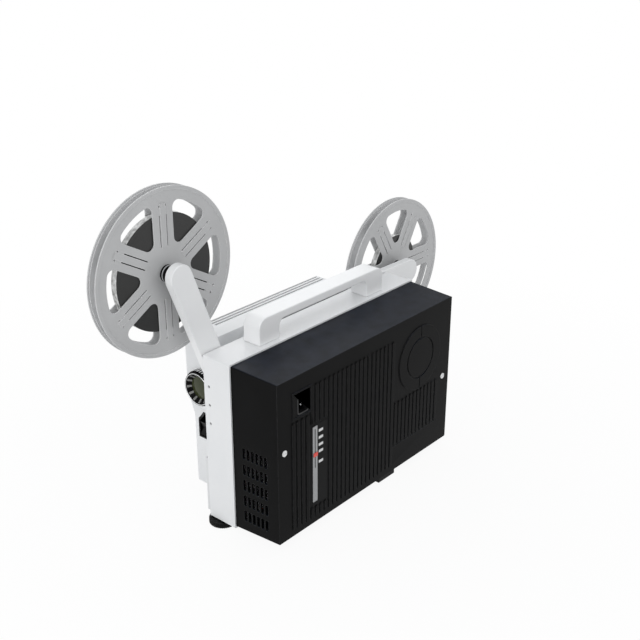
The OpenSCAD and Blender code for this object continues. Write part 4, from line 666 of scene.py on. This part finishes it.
# Node, slot, width of the rounding in millimetres, and its segments
ROUNDED = [
    ("main_housing", "white_plastic", 0.7, 2), ("film_side_housing", "white_plastic", 0.35, 2),
    ("lamp_door", "white_plastic", 0.4, 2), ("handle", "white_plastic", 1.2, 3),
    ("rear_arm", "white_plastic", ARM_ROUNDING, 3),
    ("back_cover", "black_plastic", 0.4, 2), ("mechanism_plate", "plate_metal", 0.3, 1),
    ("front_spindle", "black_plastic", 0.4, 2), ("rear_spindle", "black_plastic", 0.4, 2),
    ("levelling_wheel", "black_plastic", 0.3, 1),
    ("function_knob", "black_plastic", 0.5, 2), ("framing_knob", "black_plastic", 0.5, 2),
    ("rocker_switch", "black_plastic", 0.5, 2),
    ("cover_screws", "white_screw", 0.3, 2), ("selector_slider", "red_plastic", 0.25, 1),
    ("selector_rail", "light_plastic", 0.2, 1), ("rubber_feet", "rubber", 0.4, 2),
]
rounded = {node: rounded_copy(node, width, segments) for node, slot, width, segments in ROUNDED}

# Shade on the floors of the three small holes in the housing's lens end
HOLE_FLOORS = [at(-0.75, 93, height) for height in (117.1, 139.1, 161.1)]
HOLE_FLOOR_AREA = 9 * MM * MM
HOLE_REACH = 1.2 * MM


def on_hole_floor(face):
    reach = min((face.center - place).length for place in HOLE_FLOORS)
    return face.area < HOLE_FLOOR_AREA and reach < HOLE_REACH


second_finish(rounded["main_housing"], drilled_shade, on_hole_floor)

# Shade in the three grooves along the top of the film side
GROOVE_FLOOR = at(0, 0, 194.35).z
GROOVE_SLACK = 0.1 * MM
# A face whose normal has this much of an axis in it is taken to face along that axis
FACES_ALONG = 0.9


def on_groove_floor(face):
    return face.normal.z > FACES_ALONG and abs(face.center.z - GROOVE_FLOOR) < GROOVE_SLACK


second_finish(rounded["film_side_housing"], groove_shade, on_groove_floor)

# The front arm narrows on its lens side, from its full width at the spindle to a flat beside the pivot
ARM_TOP_HALF_WIDTH = 14
ARM_PIVOT_HALF_WIDTH = 11
front_pivot = at(19.5, 0, 168)
front_top = spin_centre("front_reel")
down_arm = Vector((front_pivot.x - front_top.x, 0, front_pivot.z - front_top.z))
lens_side = Vector((down_arm.z, 0, -down_arm.x)).normalized()
flat_top = front_top + lens_side * ARM_TOP_HALF_WIDTH * MM
flat_pivot = front_pivot + lens_side * ARM_PIVOT_HALF_WIDTH * MM
along_flat = flat_pivot - flat_top
flat_out = Vector((along_flat.z, 0, -along_flat.x)).normalized()
rounded_copy("front_arm", ARM_ROUNDING, 3, flat=(flat_pivot, flat_out))

# A reel's fine cuts lie at its hub and in strips along its six spokes, so edges there stay sharp
SPOKE_TURN = math.radians(60)
SPOKE_ZONE = 7.5
HUB_ZONE = 20
RIM_ZONE = 76


def clear_of_spokes(node, first_spoke):
    """Tells whether a point on a reel lies on its rim or a window, away from the spokes' strips and slots."""
    centre = spin_centre(node)

    def test(point):
        reach = (point - centre) / MM
        radius = math.hypot(reach.x, reach.z)
        if radius > RIM_ZONE:
            return True
        turn = (math.atan2(reach.z, reach.x) - first_spoke) % SPOKE_TURN
        across = radius * math.sin(min(turn, SPOKE_TURN - turn))
        return radius > HUB_ZONE and across > SPOKE_ZONE
    return test


REEL_SPOKES = {"front_reel": math.radians(30), "rear_reel": 0}
for node, first_spoke in REEL_SPOKES.items():
    reel = rounded_copy(node, REEL_ROUNDING, 2, clear_of_spokes(node, first_spoke))
    middle_y = spin_centre(node).y
    # The flanges' inner faces take a lighter grey, painted light
    second_finish(reel, reel_inside_painted_light, lambda face: abs(face.normal.y) > FACES_ALONG
                  and face.normal.y * (face.center.y - middle_y) < 0)
rounded_copy("inching_knob", KNURLED_ROUNDING, 1)

# Five short printed marks beside the rail of the selector
selector_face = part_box("selector_plate")[0].y
MARK_SIZE = Vector((7, 0.24, 3.2)) * MM
MARK_ROUNDING = 0.08 * MM
MARK_X = 69.5
MARK_HEIGHTS = (76.1, 88.8, 96.8, 105.4, 113.9)
for number, height in enumerate(MARK_HEIGHTS):
    shape = bmesh.new()
    bmesh.ops.create_cube(shape, size=1)
    bmesh.ops.scale(shape, verts=shape.verts, vec=MARK_SIZE)
    bmesh.ops.bevel(shape, geom=shape.edges[:], offset=MARK_ROUNDING, offset_type="OFFSET", affect="EDGES",
                    segments=2, profile=0.5, material=-1)
    place = at(MARK_X, 0, height)
    bmesh.ops.translate(shape, verts=shape.verts, vec=(place.x, selector_face, place.z))
    piece(f"selector_mark_{number + 1}", shape, printed_white, "projector")


def turned(points, axis, centre, steps=96, closed=True):
    """Points of (radius, along) in millimetres, turned about an axis through centre.

    A closed outline makes a ring. An open one starts and ends on the axis and makes a full body.
    """
    shape = bmesh.new()
    rim = [shape.verts.new((radius * MM, 0, along * MM)) for radius, along in points]
    for first, second in zip(rim, rim[1:] + rim[:1] if closed else rim[1:]):
        shape.edges.new((first, second))
    bmesh.ops.spin(shape, geom=shape.verts[:] + shape.edges[:], cent=(0, 0, 0), axis=(0, 0, 1),
                   dvec=(0, 0, 0), angle=2 * math.pi, steps=steps, use_merge=True, use_duplicate=False)
    bmesh.ops.remove_doubles(shape, verts=shape.verts, dist=SEAM)
    bmesh.ops.recalc_face_normals(shape, faces=shape.faces)
    turn = Vector((0, 0, 1)).rotation_difference(Vector(axis)).to_matrix().to_4x4()
    bmesh.ops.transform(shape, matrix=Matrix.Translation(centre) @ turn, verts=shape.verts)
    return shape


# Bright ring on the lens front, and the ribs of the dark cone inside it, whose grey paints the reflections in
# the cone
lens_low, lens_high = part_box("lens_barrel")
lens_front = Vector((lens_low.x, (lens_low.y + lens_high.y) / 2, (lens_low.z + lens_high.z) / 2))
lens_r = (lens_high.z - lens_low.z) / 2 / MM
RIM_BEAD = 0.45
RIM_IN = 0.95
RIM_SUNK = 0.1
BEAD_SIDES = 12
rim_points = [(lens_r - RIM_IN + RIM_BEAD * math.cos(a), RIM_SUNK + RIM_BEAD * math.sin(a))
              for a in [2 * math.pi * i / BEAD_SIDES for i in range(BEAD_SIDES)]]
piece("lens_rim", turned(rim_points, (1, 0, 0), lens_front), bright_rim, "lens")


def wedge(shape, middle, half_width, ends, centre):
    """Adds one block on a ring about an axis along X, from a cube whose corners are moved.

    The ends are two of (low radius, high radius, along) in millimetres. Middle and half_width are angles.
    """
    for corner in bmesh.ops.create_cube(shape, size=2)["verts"]:
        low_r, high_r, along = ends[0] if corner.co.x < 0 else ends[1]
        radius = low_r if corner.co.z < 0 else high_r
        turn = middle + corner.co.y * half_width
        corner.co = centre + Vector((along, radius * math.cos(turn), radius * math.sin(turn))) * MM


CONE_RIBS = 12
FIRST_RIB = math.radians(-6)
RIB_HALF_TURN = math.radians(4.8)
RIB_HEIGHT = 0.5
RIB_ROOT = 0.3
RIB_DEPTHS = (0.5, 4.4)
CONE_MOUTH_R = lens_r - 2
CONE_THROAT_R = 12
CONE_DEPTH = 6


def cone_r(depth):
    """Radius of the cone at a depth behind the lens front, in millimetres."""
    return CONE_MOUTH_R - (CONE_MOUTH_R - CONE_THROAT_R) * depth / CONE_DEPTH


shape = bmesh.new()
for number in range(CONE_RIBS):
    wedge(shape, FIRST_RIB + 2 * math.pi * number / CONE_RIBS, RIB_HALF_TURN,
          [(cone_r(depth) - RIB_HEIGHT, cone_r(depth) + RIB_ROOT, depth) for depth in RIB_DEPTHS], lens_front)
bmesh.ops.recalc_face_normals(shape, faces=shape.faces)
piece("lens_ribs", shape, rib_grey_painted_reflection, "lens")

# Front glass: a shallow dome that fills the cone in front of its throat
GLASS_DEPTH = 4.9
GLASS_BACK = 5.7
GLASS_CLEAR = 0.1
DOME_RISE = 1.1
DOME_STEPS = 8
glass_edge = cone_r(GLASS_DEPTH) - GLASS_CLEAR
dome_shares = [1 - step / DOME_STEPS for step in range(DOME_STEPS + 1)]
outline = [(0, GLASS_BACK), (cone_r(GLASS_BACK) - GLASS_CLEAR, GLASS_BACK)]
outline += [(glass_edge * share, GLASS_DEPTH - DOME_RISE * (1 - share ** 2)) for share in dome_shares]
piece("lens_front_glass", turned(outline, (1, 0, 0), lens_front, closed=False), coated_glass, "lens")

# Focus ring: a black ring with light grey lands between its grooves, a painted highlight
ring_low, ring_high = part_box("focus_ring")
ring_middle = (ring_low + ring_high) / 2
ring_half = (ring_high.x - ring_low.x) / 2 / MM
ring_r = (ring_high.z - ring_low.z) / 2 / MM
# The bore lies this far inside the outline of the lens front
BORE_IN = 3.8
ring_bore = lens_r - BORE_IN
# LAND_SHARE is how much of each step round the ring is land, and the rest of the step is groove
KNURLS = 36
LAND_HEIGHT = 1
LAND_ROOT = 0.2
LAND_INSET = 0.3
LAND_SHARE = 0.45
groove_r = ring_r - LAND_HEIGHT
tube_points = [(ring_bore, -ring_half), (groove_r, -ring_half), (groove_r, ring_half), (ring_bore, ring_half)]
shape = turned(tube_points, (1, 0, 0), ring_middle)
black_faces = set(shape.faces)
for number in range(KNURLS):
    wedge(shape, 2 * math.pi * (number + 0.5) / KNURLS, math.pi / KNURLS * LAND_SHARE,
          [(groove_r - LAND_ROOT, ring_r, side * (ring_half - LAND_INSET)) for side in (-1, 1)], ring_middle)
lands = [face for face in shape.faces if face not in black_faces]
bmesh.ops.recalc_face_normals(shape, faces=lands)
for face in lands:
    outward = face.calc_center_median() - ring_middle
    outward.x = 0
    if face.normal.dot(outward.normalized()) > FACES_ALONG:
        face.material_index = 1
piece("focus_ring.knurled", shape, [black_gloss, painted_highlight_grey], "focus ring", ["focus_ring"])

# A bright ring round the collar of each spindle, near the reel, that stands in for the highlight on a glossy
# black collar: a painted highlight
COLLAR_R = 9.3
# The ring's middle stands this far out from the face of the reel
COLLAR_OUT = 3.6
RING_IN = 0.4
RING_OUT = 0.15
RING_HALF = 0.9
RING_TOP_HALF = 0.7
for body, node, reel in (("front reel", "front_spindle", "front_reel"),
                         ("rear reel", "rear_spindle", "rear_reel")):
    centre = spin_centre(node)
    centre.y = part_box(reel)[0].y - COLLAR_OUT * MM
    rim = [(COLLAR_R - RING_IN, -RING_HALF), (COLLAR_R + RING_OUT, -RING_TOP_HALF),
           (COLLAR_R + RING_OUT, RING_TOP_HALF), (COLLAR_R - RING_IN, RING_HALF)]
    piece(f"{node}.ring", turned(rim, (0, 1, 0), centre), bright_rim, body)

# Wound film: the discs' sides show the turns' edges, the outer face the last turn
HUB_R = 19
FILM_STEPS = 144
# A face with less of the Y axis than this in its normal is on the rim, which shows the last turn
RIM_FACES = 0.5
for node, body, turns in (("front_film", "front reel", front_turns), ("rear_film", "rear reel", rear_turns)):
    low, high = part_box(node)
    outer = (high.x - low.x) / 2 / MM
    half = (high.y - low.y) / 2 / MM
    # Outline of the disc: its bore, one side, a rim rounded over its last 0.8 mm, and the other side
    rim = [(HUB_R - 0.8, 0.3 - half), (HUB_R - 0.8, half - 0.3), (HUB_R, half)]
    rim += [(outer - 0.8, half), (outer - 0.2, half - 0.25), (outer, half - 1), (outer, 1 - half)]
    rim += [(outer - 0.2, 0.25 - half), (outer - 0.8, -half), (HUB_R, -half)]
    shape = turned(rim, (0, 1, 0), (low + high) / 2, FILM_STEPS)
    for face in shape.faces:
        if abs(face.normal.y) < RIM_FACES:
            face.material_index = 1
    piece(node + ".turns", shape, [turns, film_back], body, [node])

# The thin turned edge of each flange, whose light grey is a painted highlight
LIP = 0.35
LIP_SIDES = 8
LIP_STEPS = 160
for body, node in (("front reel", "front_reel"), ("rear reel", "rear_reel")):
    low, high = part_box(node)
    reel_r = (high.x - low.x) / 2 / MM
    middle = (low + high) / 2
    for side in (-1, 1):
        rim = [(reel_r - LIP + LIP * math.cos(a), LIP * math.sin(a))
               for a in [2 * math.pi * i / LIP_SIDES for i in range(LIP_SIDES)]]
        centre = Vector((middle.x, middle.y + side * ((high.y - low.y) / 2 - LIP * MM), middle.z))
        piece(f"{node}.{'near' if side < 0 else 'far'}_edge", turned(rim, (0, 1, 0), centre, LIP_STEPS),
              painted_highlight_grey, body)
